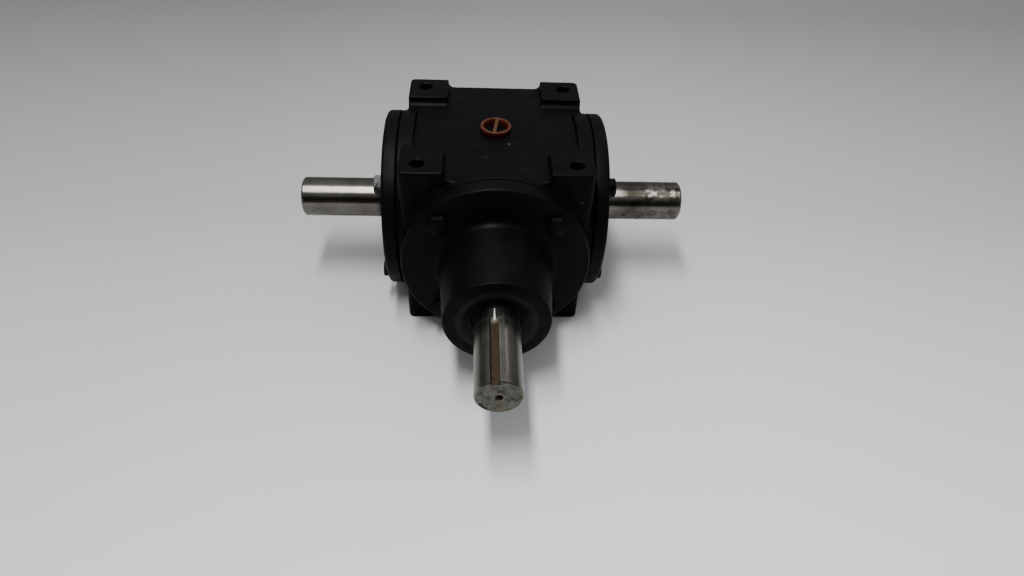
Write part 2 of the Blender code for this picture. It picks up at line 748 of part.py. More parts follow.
def make_gear(name, seat_r, phase, looks, shaft, turn):
    gear = mesh_object(name, bevel_gear(seat_r + GAP, phase), looks["gear"], shaft, turn)
    slot = bmesh.new()
    half = KEY_WIDTH / 2 + GAP
    deep = seat_r + KEY_IN_HUB + GAP
    add_box(slot, (0, -half, GEAR_FRONT - PAST), (deep, half, HUB_BACK + PAST))
    boolean(gear, cutter_object(f"{name}_keyway_shape", slot, shaft, turn))


# ---------------------------------------------------------------- plugs


def make_filler_plug(look, root):
    """A deep cup with a grip web across it, screwed into the top."""
    seat = HALF_HEIGHT + GAP
    rim = seat + FILLER_RISE
    cup_floor = seat - FILLER_FLOOR_DEPTH
    outline = [
        (seat - FILLER_THREAD_LENGTH, 0),
        (seat - FILLER_THREAD_LENGTH, FILLER_THREAD_R),
        (seat, FILLER_THREAD_R),
        (seat, FILLER_R),
        (rim - FILLER_EDGE, FILLER_R),
        (rim, FILLER_R - FILLER_EDGE),
        (rim, FILLER_R - FILLER_WALL),
        (cup_floor, FILLER_FLOOR_R),
        (cup_floor, 0),
    ]
    plug = mesh_object("filler_plug", turned(outline, FINE, closed=False), look, root)
    web = bmesh.new()
    half = FILLER_WEB_WIDTH / 2
    low = (-half, -FILLER_WEB_END, cup_floor - GAP)
    add_box(web, low, (half, FILLER_WEB_END, rim - FILLER_WEB_DROP))
    boolean(plug, cutter_object("filler_web_shape", web, root), "UNION")


def make_rear_plug(name, height, look, root):
    """A square-headed pipe plug in the rear face."""
    face = -HALF_WIDTH
    shape = bmesh.new()
    start, end = face - SMALL_PLUG_RIM, face + SMALL_PLUG_DEPTH
    add_cylinder(shape, start, end, SMALL_PLUG_R, SMALL, (0, height))
    plug = mesh_object(name, shape, look, root, TO_FRONT)
    head = bmesh.new()
    half = SQUARE_FLATS / 2
    low = (-half, height - half, face - SQUARE_RISE)
    add_box(head, low, (half, height + half, face))
    boolean(plug, cutter_object(f"{name}_head_shape", head, root, TO_FRONT), "UNION")


# ---------------------------------------------------------------- the gearbox


def main():
    for old in list(bpy.data.objects):
        bpy.data.objects.remove(old)

    looks = {
        "paint": material("black_paint", (0.012, 0.013, 0.015), 0.45, 0.0),
        "steel": material("ground_steel", (0.55, 0.54, 0.52), 0.25, 1.0),
        "dark_steel": material("black_oxide_steel", (0.03, 0.03, 0.032), 0.4, 0.8),
        "race": material("bearing_steel", (0.62, 0.62, 0.62), 0.15, 1.0),
        "roller": material("roller_steel", (0.66, 0.66, 0.66), 0.15, 1.0),
        "gear": material("gear_steel", (0.35, 0.34, 0.33), 0.35, 1.0),
        "seal": material("seal_rubber", (0.02, 0.018, 0.018), 0.6, 0.0),
        "shim": material("shim_fibre", (0.05, 0.045, 0.04), 0.8, 0.0),
        "plug": material("orange_plastic", (0.62, 0.11, 0.03), 0.5, 0.0),
    }
    root = empty("root_frame")
    input_axis = empty("input_axis")
    cross_axis = empty("cross_axis")

    make_housing(looks["paint"], root)
    flanges = (
        ("left_cover", cover_outline(), COVER_FACE, TO_LEFT),
        ("right_cover", cover_outline(), COVER_FACE, ACROSS_X),
        ("pinion_quill", quill_outline(), QUILL_FLANGE_FACE, TO_FRONT),
    )
    for name, outline, face, turn in flanges:
        make_flange(name, outline, looks["paint"], root, turn)
        make_shim(f"{name}_shim", looks["shim"], root, turn)
        make_bolts(f"{name}_bolt", face, looks["dark_steel"], root, turn)

    bearings = (
        ("left_bearing", BEARING_START, False, cross_axis, TO_LEFT),
        ("right_bearing", BEARING_START, False, cross_axis, ACROSS_X),
        ("pinion_bearing", BEARING_START, False, input_axis, TO_FRONT),
        ("outer_bearing", OUTER_BEARING_START, True, input_axis, TO_FRONT),
    )
    for name, start, flipped, shaft, turn in bearings:
        parents = (root, shaft, empty(f"{name}_rollers_axis"))
        make_bearing(name, start, flipped, looks, parents, turn)

    make_seal("left_seal", COVER_FACE, looks["seal"], root, TO_LEFT)
    make_seal("right_seal", COVER_FACE, looks["seal"], root, ACROSS_X)
    make_seal("input_seal", QUILL_NOSE_END, looks["seal"], root, TO_FRONT)

    make_input_shaft(looks["steel"], input_axis)
    make_cross_shaft(looks["steel"], cross_axis)
    make_spacer(looks["steel"], input_axis)
    make_locknut(looks["dark_steel"], input_axis)
    make_circlip(looks["dark_steel"], input_axis)

    half_pitch = pi / TEETH
    make_gear("pinion", PINION_SEAT_R, pi, looks, input_axis, TO_FRONT)  # a tooth points to the gear
    make_gear("bevel_gear", GEAR_SEAT_R, half_pitch - pi / 2, looks, cross_axis, TO_LEFT)  # a gap faces it
    for name, seat_r, shaft, turn in (
        ("pinion_key", PINION_SEAT_R, input_axis, TO_FRONT),
        ("gear_key", GEAR_SEAT_R, cross_axis, TO_LEFT),
    ):
        mesh_object(name, key_box(seat_r, 0), looks["dark_steel"], shaft, turn)

    make_filler_plug(looks["plug"], root)
    make_rear_plug("level_plug", LEVEL_AT, looks["dark_steel"], root)
    make_rear_plug("drain_plug", DRAIN_AT, looks["dark_steel"], root)


main()
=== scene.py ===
"""The looks of a right-angle bevel gearbox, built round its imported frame.

Everything that can be seen is built here: painted castings, ground shafts, bolts, seals and plugs. The
inner pieces keep the shapes of the CAD and get a material each.
"""

import json
from math import atan2, cos, pi, radians, sin, sqrt, tan

import bmesh
import bpy
import numpy as np
from mathutils import Matrix, Vector


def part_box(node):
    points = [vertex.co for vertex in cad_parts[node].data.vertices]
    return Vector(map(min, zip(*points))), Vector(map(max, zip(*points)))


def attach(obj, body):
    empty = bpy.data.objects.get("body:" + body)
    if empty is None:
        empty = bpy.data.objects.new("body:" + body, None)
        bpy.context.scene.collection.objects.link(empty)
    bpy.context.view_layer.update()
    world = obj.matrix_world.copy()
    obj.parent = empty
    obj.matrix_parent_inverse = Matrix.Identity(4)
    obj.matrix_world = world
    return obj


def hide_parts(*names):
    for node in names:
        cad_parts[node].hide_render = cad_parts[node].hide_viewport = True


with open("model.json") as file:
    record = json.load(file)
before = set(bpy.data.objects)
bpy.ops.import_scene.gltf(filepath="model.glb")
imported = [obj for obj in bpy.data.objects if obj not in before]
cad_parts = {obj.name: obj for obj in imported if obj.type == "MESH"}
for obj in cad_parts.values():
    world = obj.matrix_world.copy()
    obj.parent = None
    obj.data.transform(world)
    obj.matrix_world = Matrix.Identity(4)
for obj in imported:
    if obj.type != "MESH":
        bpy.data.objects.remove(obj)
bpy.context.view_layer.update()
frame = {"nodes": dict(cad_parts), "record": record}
NODES = frame["nodes"]

MM = 0.001

# Sizes read from the frame
SHAFT_LOW, SHAFT_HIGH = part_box("cross_shaft")
AXIS_Z = (SHAFT_LOW.z + SHAFT_HIGH.z) / 2
CROSS_REACH = SHAFT_HIGH.x
INPUT_REACH = -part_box("input_shaft")[0].y
COVER_LOW, COVER_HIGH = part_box("right_cover")
SPIGOT_END, COVER_FACE = COVER_LOW.x, COVER_HIGH.x
FLANGE_R = COVER_HIGH.z - AXIS_Z
NOSE_END = -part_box("pinion_quill")[0].y
HOUSING_LOW, HOUSING_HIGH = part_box("housing")
PAD_TOP = HOUSING_HIGH.z - AXIS_Z
BOSS_FACE = HOUSING_HIGH.x
BOLT_LOW, BOLT_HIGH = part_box("right_cover_bolt_1")
BOLT_FLATS = BOLT_HIGH.y - BOLT_LOW.y
BOLT_HEAD = BOLT_HIGH.x - COVER_FACE
BOLT_LENGTH = COVER_FACE - BOLT_LOW.x
PLUG_LOW, PLUG_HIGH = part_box("filler_plug")
PLUG_R = PLUG_HIGH.x
SEAL_LOW, SEAL_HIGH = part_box("right_seal")
SEAL_DEPTH = COVER_FACE - SEAL_LOW.x
SEAL_R = SEAL_HIGH.z - AXIS_Z
FACE_OF = {"X": COVER_FACE, "Y": NOSE_END}  # where each shaft leaves its seal

# Sizes repeated from the design; distances along a shaft are measured from the axes' crossing
SHAFT_R = 15.875 * MM
SEAT_R = 17.5 * MM  # of the shafts in their bearings and seals
HALF_WIDTH = 69.7 * MM  # of the housing's box
DECK = 64.9 * MM  # the flat top between the pads
PAD_INNER = 38.2 * MM  # the pads' inner sides
BOSS_START = 62.0 * MM
FLANGE_SEAT = 74.4 * MM
QUILL_FACE = 86.9 * MM
BORE_R = 31.05 * MM  # for the bearings' outer races
HOUSING_BORE_R = 51.0 * MM
CAVITY_R = 54.0 * MM
CAVITY_HALF = 53.0 * MM
SPIGOT_R = 50.4 * MM
MOUNT_AT = 56.7 * MM  # the mounting holes' distance from the middle, both ways
MOUNT_R = 5.1 * MM
MOUNT_DEPTH = 20.0 * MM
SHANK_R = 4.0 * MM
PLUG_RISE = 4.2 * MM
KEY_WIDTH = 6.35 * MM
KEY_DEPTH = 3.2 * MM
KEY_CUTTER_R = 30.5 * MM
FRONT_KEY_START = 158.0 * MM
FRONT_KEY_TURN = radians(10.0)  # how far the front keyway is turned from straight up
SIDE_KEY_START = 108.0 * MM

# How far each bolt head is turned, in degrees
BOLT_TURNS = {"left_cover": (12, 31, 50, 24), "right_cover": (40, 8, 17, 33), "pinion_quill": (19, 0, 41, 0)}

SMOOTH = 144  # segments of the large turned surfaces
NET_REACH, NET_STEP = 76.0 * MM, 1.0 * MM  # half side and spacing of the casting's sampling grid
KEPT_FACES = 0.22  # share of the casting's faces that stays after thinning

STEEL, KEYWAY, CUT_END, SEAT = range(4)  # a shaft's material slots
MIX_FIRST, MIX_SECOND, MIX_RESULT = 6, 7, 2  # the colour sockets of a Mix node

ALONG_X = Matrix.Rotation(pi / 2, 4, "Y")
ALONG_LEFT = Matrix.Rotation(-pi / 2, 4, "Y")
ALONG_FRONT = Matrix.Rotation(pi / 2, 4, "X")
UPRIGHT = Matrix.Identity(4)


# ---------------------------------------------------------------- camera, floor and light


def make_camera():
    """A wide lens above and in front, looking down at the crossing of the shafts."""
    place = Vector((-15.0, -455.4, 333.0)) * MM + Vector((0, 0, AXIS_Z))
    pitch, yaw, roll = radians(-43.75), radians(4.365), radians(3.356)
    forward = Vector((sin(yaw) * cos(pitch), cos(yaw) * cos(pitch), sin(pitch)))
    level = Vector((cos(yaw), -sin(yaw), 0))
    upward = level.cross(forward)
    right = cos(roll) * level + sin(roll) * upward
    up = -sin(roll) * level + cos(roll) * upward
    camera = bpy.data.objects.new("camera", bpy.data.cameras.new("camera"))
    columns = Matrix((right, up, -forward)).transposed().to_4x4()
    camera.matrix_world = Matrix.Translation(place) @ columns
    camera.data.sensor_width = 36
    camera.data.lens = 23.37
    camera.data.clip_start = 0.01
    bpy.context.scene.collection.objects.link(camera)
    bpy.context.scene.camera = camera


def make_stage():
    """A plain floor under the feet."""
    bm = bmesh.new()
    bmesh.ops.create_grid(bm, x_segments=8, y_segments=8, size=4.0)
    floor = new_object("floor", bm, [floor_look()])
    floor.location.z = HOUSING_LOW.z


def add_lamp(name, place, width, length, power):
    """A strip of light along Y that faces the gearbox."""
    lamp = bpy.data.lights.new(name, "AREA")
    lamp.shape = "RECTANGLE"
    lamp.size = width
    lamp.size_y = length
    lamp.energy = power
    strip = bpy.data.objects.new(name, lamp)
    strip.location = place
    strip.rotation_euler = (0, atan2(place[0], place[2]), 0)
    bpy.context.scene.collection.objects.link(strip)


def make_light():
    """A long strip of ceiling light above the left side, in a pale room whose front is dark."""
    add_lamp("ceiling_strip", (-0.165, -0.25, 1.15), 0.115, 0.74, 17.5)
    add_lamp("rear_lamp", (1.00, 1.15, 1.30), 0.12, 0.50, 1.1)

    world = bpy.data.worlds.new("studio")
    world.use_nodes = True
    bpy.context.scene.world = world
    tree = world.node_tree
    background = tree.nodes["Background"]
    coords = tree.nodes.new("ShaderNodeTexCoord")
    parts = tree.nodes.new("ShaderNodeSeparateXYZ")
    tree.links.new(coords.outputs["Generated"], parts.inputs[0])

    def span(axis, low, high, to_low, to_high):
        node = tree.nodes.new("ShaderNodeMapRange")
        for socket, number in zip(("From Min", "From Max", "To Min", "To Max"), (low, high, to_low, to_high)):
            node.inputs[socket].default_value = number
        tree.links.new(parts.outputs[axis], node.inputs["Value"])
        return node.outputs["Result"]

    # Brighter toward the ceiling: how high a direction points, and the level there
    levels = ((0.0, 0.17), (0.30, 0.36), (0.60, 0.58), (0.85, 0.85))
    height = tree.nodes.new("ShaderNodeValToRGB")
    elements = height.color_ramp.elements
    while len(elements) < len(levels):
        elements.new(1.0)
    for element, (place, level) in zip(elements, levels):
        element.position = place
        element.color = (level, level, level * 1.02, 1)
    tree.links.new(parts.outputs["Z"], height.inputs["Fac"])

    mix = tree.nodes.new("ShaderNodeMix")
    mix.data_type = "RGBA"
    mix.inputs[MIX_FIRST].default_value = (0.045, 0.045, 0.042, 1)
    tree.links.new(span("Y", -0.86, -0.62, 0.0, 1.0), mix.inputs[0])
    tree.links.new(height.outputs["Color"], mix.inputs[MIX_SECOND])
    tree.links.new(mix.outputs[MIX_RESULT], background.inputs["Color"])
    tree.links.new(span("X", -0.7, 0.7, 0.72, 1.15), background.inputs["Strength"])


# ---------------------------------------------------------------- mesh helpers


def new_object(name, bm, looks, turn=None):
    """The object of a bmesh, with the frame's origin.

    A piece that is built round the axes' crossing is given a turn, and is moved up to the crossing.
    """
    if turn is not None:
        bmesh.ops.transform(bm, matrix=Matrix.Translation((0, 0, AXIS_Z)) @ turn, verts=bm.verts)
    bmesh.ops.recalc_face_normals(bm, faces=bm.faces)
    mesh = bpy.data.meshes.new(name)
    bm.to_mesh(mesh)
    bm.free()
    mesh.shade_smooth()
    mesh.set_sharp_from_angle(angle=radians(32))
    for look in looks:
        mesh.materials.append(look)
    made = bpy.data.objects.new(name, mesh)
    bpy.context.scene.collection.objects.link(made)
    return made


def rounded(corners, steps=5):
    """An outline of (height, radius) points from corners of (height, radius, fillet)."""
    points = []
    count = len(corners)
    for index, (height, radius, fillet) in enumerate(corners):
        here = Vector((height, radius))
        if not fillet or index in (0, count - 1):
            points.append(here)
            continue
        before = (Vector(corners[index - 1][:2]) - here).normalized()
        after = (Vector(corners[index + 1][:2]) - here).normalized()
        half = before.angle(after) / 2
        reach = fillet / tan(half)
        centre = here + (before + after).normalized() * (fillet / sin(half))
        start, end = here + before * reach - centre, here + after * reach - centre
        sweep = start.angle_signed(end)
        for step in range(steps + 1):
            arm = start.copy()
            arm.rotate(Matrix.Rotation(-sweep * step / steps, 2))
            points.append(centre + arm)
    return points


def turned(outline, segments=SMOOTH, closed=True):
    """Spins an outline of (height, radius) points round the Z axis."""
    bm = bmesh.new()
    rings = []
    for height, radius in outline:
        if radius < 1e-7:
            rings.append([bm.verts.new((0, 0, height))])
            continue
        angles = (2 * pi * step / segments for step in range(segments))
        rings.append([bm.verts.new((radius * cos(a), radius * sin(a), height)) for a in angles])
    pairs = list(zip(rings, rings[1:]))
    if closed:
        pairs.append((rings[-1], rings[0]))
    for first, second in pairs:
        for step in range(segments):
            after = (step + 1) % segments
            loop = [first[step % len(first)], first[after % len(first)]]
            loop += [second[after % len(second)], second[step % len(second)]]
            corners = list(dict.fromkeys(loop))
            if len(corners) > 2:
                bm.faces.new(corners)
    return bm


def prism(outline, width):
    """A plate of the given width across Y, with an outline of (z, x) points."""
    bm = bmesh.new()
    low = [bm.verts.new((x, -width / 2, z)) for z, x in outline]
    high = [bm.verts.new((x, width / 2, z)) for z, x in outline]
    bm.faces.new(low)
    bm.faces.new(list(reversed(high)))
    for index in range(len(low)):
        after = (index + 1) % len(low)
        bm.faces.new((low[index], high[index], high[after], low[after]))
    return bm


def hexagon(low, high, flats):
    """A six-sided bar along Z."""
    return turned([(low, 0), (low, flats / sqrt(3)), (high, flats / sqrt(3)), (high, 0)], 6, closed=False)


def combine(target, tool, operation):
    """Applies a Boolean to the target's mesh and removes the tool."""
    modifier = target.modifiers.new("cut", "BOOLEAN")
    modifier.object = tool
    modifier.operation = operation
    modifier.solver = "EXACT"
    bake(target)
    bpy.data.objects.remove(tool)


def bake(made):
    """Replaces an object's mesh with its evaluated one."""
    graph = bpy.context.evaluated_depsgraph_get()
    mesh = bpy.data.meshes.new_from_object(made.evaluated_get(graph), depsgraph=graph)
    made.modifiers.clear()
    made.data = mesh


def soften(made, width, angle=30, segments=2):
    """Rounds the sharp edges of a piece and keeps its flat faces flat."""
    bevel = made.modifiers.new("soften", "BEVEL")
    bevel.width = width
    bevel.segments = segments
    bevel.limit_method = "ANGLE"
    bevel.angle_limit = radians(angle)
    bevel.harden_normals = True
    bake(made)


# ---------------------------------------------------------------- materials


class Look:
    """A material with a Principled shader, and short ways to add the nodes that drive it."""

    def __init__(self, name, roughness=0.5, metallic=0.0, specular=0.5):
        self.made = bpy.data.materials.new(name)
        self.made.use_nodes = True
        self.tree = self.made.node_tree
        self.shader = self.tree.nodes["Principled BSDF"]
        self.shader.inputs["Roughness"].default_value = roughness
        self.shader.inputs["Metallic"].default_value = metallic
        self.shader.inputs["Specular IOR Level"].default_value = specular
        self.coords = self.node("ShaderNodeTexCoord").outputs["Object"]

    def node(self, kind, **settings):
        made = self.tree.nodes.new(kind)
        for key, value in settings.items():
            setattr(made, key, value)
        return made

    def link(self, source, target):
        self.tree.links.new(source, target)

    def stretched(self, scale):
        """The coordinates at another scale along X, Y and Z."""
        mapping = self.node("ShaderNodeMapping")
        mapping.inputs["Scale"].default_value = scale
        self.link(self.coords, mapping.inputs["Vector"])
        return mapping.outputs["Vector"]

    def noise(self, scale, detail=4.0, roughness=0.5, coords=None):
        noise = self.node("ShaderNodeTexNoise")
        noise.inputs["Scale"].default_value = scale
        noise.inputs["Detail"].default_value = detail
        noise.inputs["Roughness"].default_value = roughness
        self.link(coords or self.coords, noise.inputs["Vector"])
        return noise.outputs["Fac"]

    def spots(self, scale, size):
        """1 inside scattered round spots, whose radius is a share of their spacing."""
        cells = self.node("ShaderNodeTexVoronoi")
        cells.inputs["Scale"].default_value = scale
        self.link(self.coords, cells.inputs["Vector"])
        return self.span(cells.outputs["Distance"], size, size * 0.6)

    def span(self, value, low, high, to_low=0.0, to_high=1.0):
        """Maps low..high to 0..1, or to the given range, and clamps it."""
        span = self.node("ShaderNodeMapRange", clamp=True)
        for socket, number in zip(("From Min", "From Max", "To Min", "To Max"), (low, high, to_low, to_high)):
            span.inputs[socket].default_value = number
        self.link(value, span.inputs["Value"])
        return span.outputs["Result"]

    def math(self, operation, first, second=0):
        """One step of arithmetic on numbers or sockets."""
        node = self.node("ShaderNodeMath", operation=operation)
        for socket, value in zip(node.inputs, (first, second)):
            if isinstance(value, (int, float)):
                socket.default_value = value
            else:
                self.link(value, socket)
        return node.outputs[0]

    def mix(self, factor, first, second):
        """A colour between two, which are colours or sockets."""
        node = self.node("ShaderNodeMix", data_type="RGBA")
        self.link(factor, node.inputs[0])
        for socket, value in zip((node.inputs[MIX_FIRST], node.inputs[MIX_SECOND]), (first, second)):
            if isinstance(value, tuple):
                socket.default_value = (*value, 1.0)
            else:
                self.link(value, socket)
        return node.outputs[MIX_RESULT]

    def colour(self, socket):
        self.link(socket, self.shader.inputs["Base Color"])

    def roughness(self, socket):
        self.link(socket, self.shader.inputs["Roughness"])

    def bump(self, height, distance):
        """Adds a relief of the given depth to those already there."""
        node = self.node("ShaderNodeBump")
        node.inputs["Distance"].default_value = distance
        node.inputs["Strength"].default_value = 1.0
        self.link(height, node.inputs["Height"])
        previous = self.shader.inputs["Normal"].links
        if previous:
            self.link(previous[0].from_socket, node.inputs["Normal"])
        self.link(node.outputs["Normal"], self.shader.inputs["Normal"])

    def facing_up(self):
        """1 on surfaces that face up, 0 on walls."""
        geometry = self.node("ShaderNodeNewGeometry")
        parts = self.node("ShaderNodeSeparateXYZ")
        self.link(geometry.outputs["Normal"], parts.inputs[0])
        return self.span(parts.outputs["Z"], 0.6, 0.95)

    def edges(self):
        """1 along sharp outer edges."""
        geometry = self.node("ShaderNodeNewGeometry")
        return self.span(geometry.outputs["Pointiness"], 0.52, 0.62)

    def axis(self, letter):
        """A point's X, Y or Z in the frame."""
        parts = self.node("ShaderNodeSeparateXYZ")
        self.link(self.coords, parts.inputs[0])
        return parts.outputs[letter]

    def from_axis(self):
        """How far a point is from the upright axis through the frame's origin."""
        flat = self.node("ShaderNodeVectorMath", operation="MULTIPLY")
        flat.inputs[1].default_value = (1, 1, 0)
        self.link(self.coords, flat.inputs[0])
        length = self.node("ShaderNodeVectorMath", operation="LENGTH")
        self.link(flat.outputs[0], length.inputs[0])
        return length.outputs["Value"]

    def near(self, point, radius):
        """1 close to a point of the frame, falling to 0 at the radius."""
        away = self.node("ShaderNodeVectorMath", operation="DISTANCE")
        away.inputs[1].default_value = point
        self.link(self.coords, away.inputs[0])
        return self.span(away.outputs["Value"], radius, radius * 0.4)


def floor_look():
    """Pale paper, with painted shade that darkens it toward the back and the left."""
    look = Look("pale_floor", roughness=0.7, specular=0.15)
    tone = look.mix(look.noise(3.0, 3.0), (0.75, 0.75, 0.755), (0.78, 0.78, 0.79))
    # Painted shade: the tone darkens toward the back and toward the left.
    tone = look.mix(look.span(look.axis("Y"), -0.28, 0.08, 0.0, 0.40), tone, (0.0, 0.0, 0.0))
    tone = look.mix(look.span(look.axis("Y"), 0.08, 0.60, 0.0, 0.40), tone, (0.0, 0.0, 0.0))
    tone = look.mix(look.span(look.axis("X"), 0.20, -0.30, 0.0, 0.20), tone, (0.0, 0.0, 0.0))
    look.colour(tone)
    return look.made


def paint_look(name, grain, chips=()):
    """Satin black paint, dusty on top and rubbed at its edges.

    grain is the depth of the cast skin under the paint; chips are (point, radius, strength).
    """
    look = Look(name, specular=0.050)
    tone = look.mix(look.noise(22.0, 4.0), (0.0009, 0.0010, 0.0012), (0.0017, 0.0018, 0.0020))
    clouds = look.span(look.noise(70.0, 8.0, 0.65), 0.5, 0.75, 0.0, 0.10)
    tone = look.mix(look.math("MULTIPLY", look.facing_up(), clouds), tone, (0.018, 0.018, 0.018))
    ragged = look.span(look.noise(160.0, 5.0), 0.45, 0.65, 0.0, 0.4)
    tone = look.mix(look.math("MULTIPLY", look.edges(), ragged), tone, (0.014, 0.014, 0.015))
    for point, radius, strength in chips:
        ragged = look.span(look.noise(900.0), 0.4, 0.5, 0, strength)
        tone = look.mix(look.math("MULTIPLY", look.near(point, radius), ragged), tone, (0.040, 0.040, 0.045))
    look.colour(tone)
    look.roughness(look.span(look.noise(90.0, 5.0), 0.3, 0.7, 0.40, 0.56))
    look.bump(look.noise(260.0, 3.0), grain)
    look.bump(look.noise(1100.0, 2.0), grain * 0.12)
    return look.made


def pale_top_bolt_look():
    """Bolt paint that is lighter grey on the upper flats."""
    look = Look("bolt_paint_pale_top", roughness=0.45, specular=0.2)
    # Lighter grey on the upper flats.
    ragged = look.span(look.noise(420.0, 4.0), 0.30, 0.55, 0.3, 1.0)
    lightened = look.math("MULTIPLY", look.facing_up(), ragged)
    look.colour(look.mix(lightened, (0.0015, 0.0015, 0.0017), (0.150, 0.150, 0.158)))
    look.bump(look.noise(900.0, 3.0), 0.03 * MM)
    return look.made


def tarnish_and_sheen(look, tone, place):
    """Brown-grey tarnishing on a shaft's +X end, with painted highlight patches on its upper front side."""
    ring = look.math("MULTIPLY", look.span(place, 96 * MM, 108 * MM), look.span(place, 130 * MM, 116 * MM))
    ring = look.math("MULTIPLY", ring, look.span(look.noise(70.0, 4.0), 0.30, 0.50, 0.0, 0.85))
    tone = look.mix(ring, tone, (0.040, 0.034, 0.026))
    patches = look.span(look.noise(135.0, 6.0, 0.62), 0.47, 0.59, 0.0, 0.75)
    patches = look.math("MULTIPLY", look.span(place, 108 * MM, 124 * MM), patches)
    tone = look.mix(patches, tone, (0.034, 0.030, 0.023))
    # Painted highlight: pale patches on the upper front side, by the seal and near the end, stand in for a
    # reflection.
    front = look.span(look.axis("Y"), -3.5 * MM, -7.0 * MM)
    above = look.span(look.axis("Z"), AXIS_Z + 11.0 * MM, AXIS_Z + 11.8 * MM)
    front = look.math("MULTIPLY", front, above)
    flecks = look.span(look.noise(210.0, 4.0), 0.50, 0.57, 0.0, 0.8)
    at_end = look.math("MULTIPLY", look.span(place, 122 * MM, 127 * MM), flecks)
    fading = look.span(place, -60 * MM, 60 * MM, 0.35, 1.0)
    by_seal = look.math("MULTIPLY", look.span(place, 111 * MM, 96 * MM), fading)
    lightened = look.math("MAXIMUM", at_end, by_seal)
    return look.mix(look.math("MULTIPLY", lightened, front), tone, (0.52, 0.48, 0.41))


def shaft_look(name, streaks, along, spread, gloss, with_tarnish_and_sheen=False):
    """Bright steel with fine streaks along the shaft, and paint overspray with a painted dark reflection
    where it leaves the seal.

    streaks is the scale of the streaks along X, Y and Z; along is the letter of the shaft's axis;
    spread is how far highlights stretch along it, and gloss its least roughness; with_tarnish_and_sheen
    gives a shaft brown-grey patches on its +X end and painted highlight patches on its upper front side.
    """
    look = Look(name, metallic=1.0)
    look.shader.inputs["Anisotropic"].default_value = spread
    look.shader.inputs["Anisotropic Rotation"].default_value = 0.25
    round_it = look.node("ShaderNodeTangent", direction_type="RADIAL", axis=along)
    look.link(round_it.outputs["Tangent"], look.shader.inputs["Tangent"])
    drawn = look.noise(1.0, 4.0, 0.6, look.stretched(streaks))
    tone = look.mix(look.span(drawn, 0.3, 0.7), (0.096, 0.091, 0.079), (0.176, 0.168, 0.148))
    film = look.span(look.noise(45.0, 6.0, 0.6), 0.45, 0.70, 0.0, 0.55)
    tone = look.mix(film, tone, (0.060, 0.054, 0.041))
    place = look.axis(along)
    specks = look.math("MULTIPLY", look.spots(420.0, 0.22), look.span(look.noise(60.0, 3.0), 0.56, 0.66))
    if with_tarnish_and_sheen:
        tone = tarnish_and_sheen(look, tone, place)
        smears = look.span(look.noise(110.0, 4.0), 0.60, 0.68, 0.0, 0.55)
        smears = look.math("MULTIPLY", look.span(place, 84 * MM, 90 * MM), smears)
        specks = look.math("MAXIMUM", specks, smears)
    tone = look.mix(specks, tone, (0.012, 0.010, 0.007))
    face = FACE_OF[along]
    # Darker where the shaft leaves the seal: paint overspray, and a painted dark reflection of the black face
    # there.
    by_face = look.span(look.math("ABSOLUTE", place), face + 13 * MM, face + 3 * MM)
    mist_and_dark_reflection = look.span(look.math("MULTIPLY", by_face, look.noise(700.0, 4.0)), 0.10, 0.36, 0.0, 0.95)
    look.colour(look.mix(mist_and_dark_reflection, tone, (0.012, 0.012, 0.012)))
    dull = look.math("ADD", look.math("MULTIPLY", specks, 0.35), look.math("MULTIPLY", mist_and_dark_reflection, 0.3))
    look.roughness(look.math("ADD", look.span(drawn, 0.3, 0.7, gloss, gloss * 1.3), dull))
    return look.made


def keyway_look(name):
    """A look for milled steel under a brown film of rust and old grease, and its tone."""
    look = Look(name, roughness=0.6, specular=0.10)
    tone = look.mix(look.noise(260.0, 6.0, 0.65), (0.008, 0.0048, 0.0020), (0.046, 0.0315, 0.0175))
    return look, look.mix(look.spots(700.0, 0.3), tone, (0.006, 0.004, 0.0025))


def side_keyway_look():
    """The rust film alone."""
    look, tone = keyway_look("side_keyway_rust")
    look.colour(tone)
    look.bump(look.noise(900.0, 4.0), 0.05 * MM)
    return look.made


def front_keyway_look():
    """The rust film with painted shade along both sides of the slot, and a run-out painted black as a dark
    reflection but for a painted glint down its middle and a painted highlight where it meets the flat.
    """
    look, tone = keyway_look("front_keyway_rust_painted_light")
    middle = (SHAFT_R - KEY_DEPTH) * sin(FRONT_KEY_TURN)
    off_middle = look.math("ABSOLUTE", look.math("ADD", look.axis("X"), middle))
    ragged = look.math("MULTIPLY", look.noise(500.0, 4.0), 1.4 * MM)
    # Painted shade: darker along both sides of the slot.
    wall_shade = look.span(look.math("ADD", off_middle, ragged), 2.7 * MM, 3.5 * MM, 0.0, 0.9)
    tone = look.mix(wall_shade, tone, (0.0030, 0.0024, 0.0016))
    back = look.math("ADD", look.axis("Y"), FRONT_KEY_START)
    # Painted dark reflection: the run-out is made nearly black.
    run_out_dark_reflection = look.span(back, 3.0 * MM, 6.0 * MM)
    tone = look.mix(run_out_dark_reflection, tone, (0.0045, 0.0040, 0.0032))
    # Painted highlight: a pale band across the slot where the run-out meets the flat.
    foot_highlight = look.math("MULTIPLY", look.span(back, 2.4 * MM, 4.0 * MM), look.span(back, 8.0 * MM, 6.4 * MM))
    foot_highlight = look.math("MULTIPLY", foot_highlight, look.span(off_middle, 2.9 * MM, 1.0 * MM, 0.0, 0.85))
    tone = look.mix(foot_highlight, tone, (0.120, 0.110, 0.085))
    # Painted glint: a pale stripe down the middle of the run-out, narrowing toward the nose.
    narrowing = look.math("ADD", off_middle, look.span(back, 6.0 * MM, 16.0 * MM, 0.0, 0.45 * MM))
    glint_line = look.span(narrowing, 0.75 * MM, 0.35 * MM)
    glint_line = look.math("MULTIPLY", glint_line, look.span(back, 5.0 * MM, 6.5 * MM))
    look.colour(look.mix(glint_line, tone, (0.70, 0.69, 0.65)))
    look.bump(look.noise(900.0, 4.0), 0.05 * MM)
    return look.made


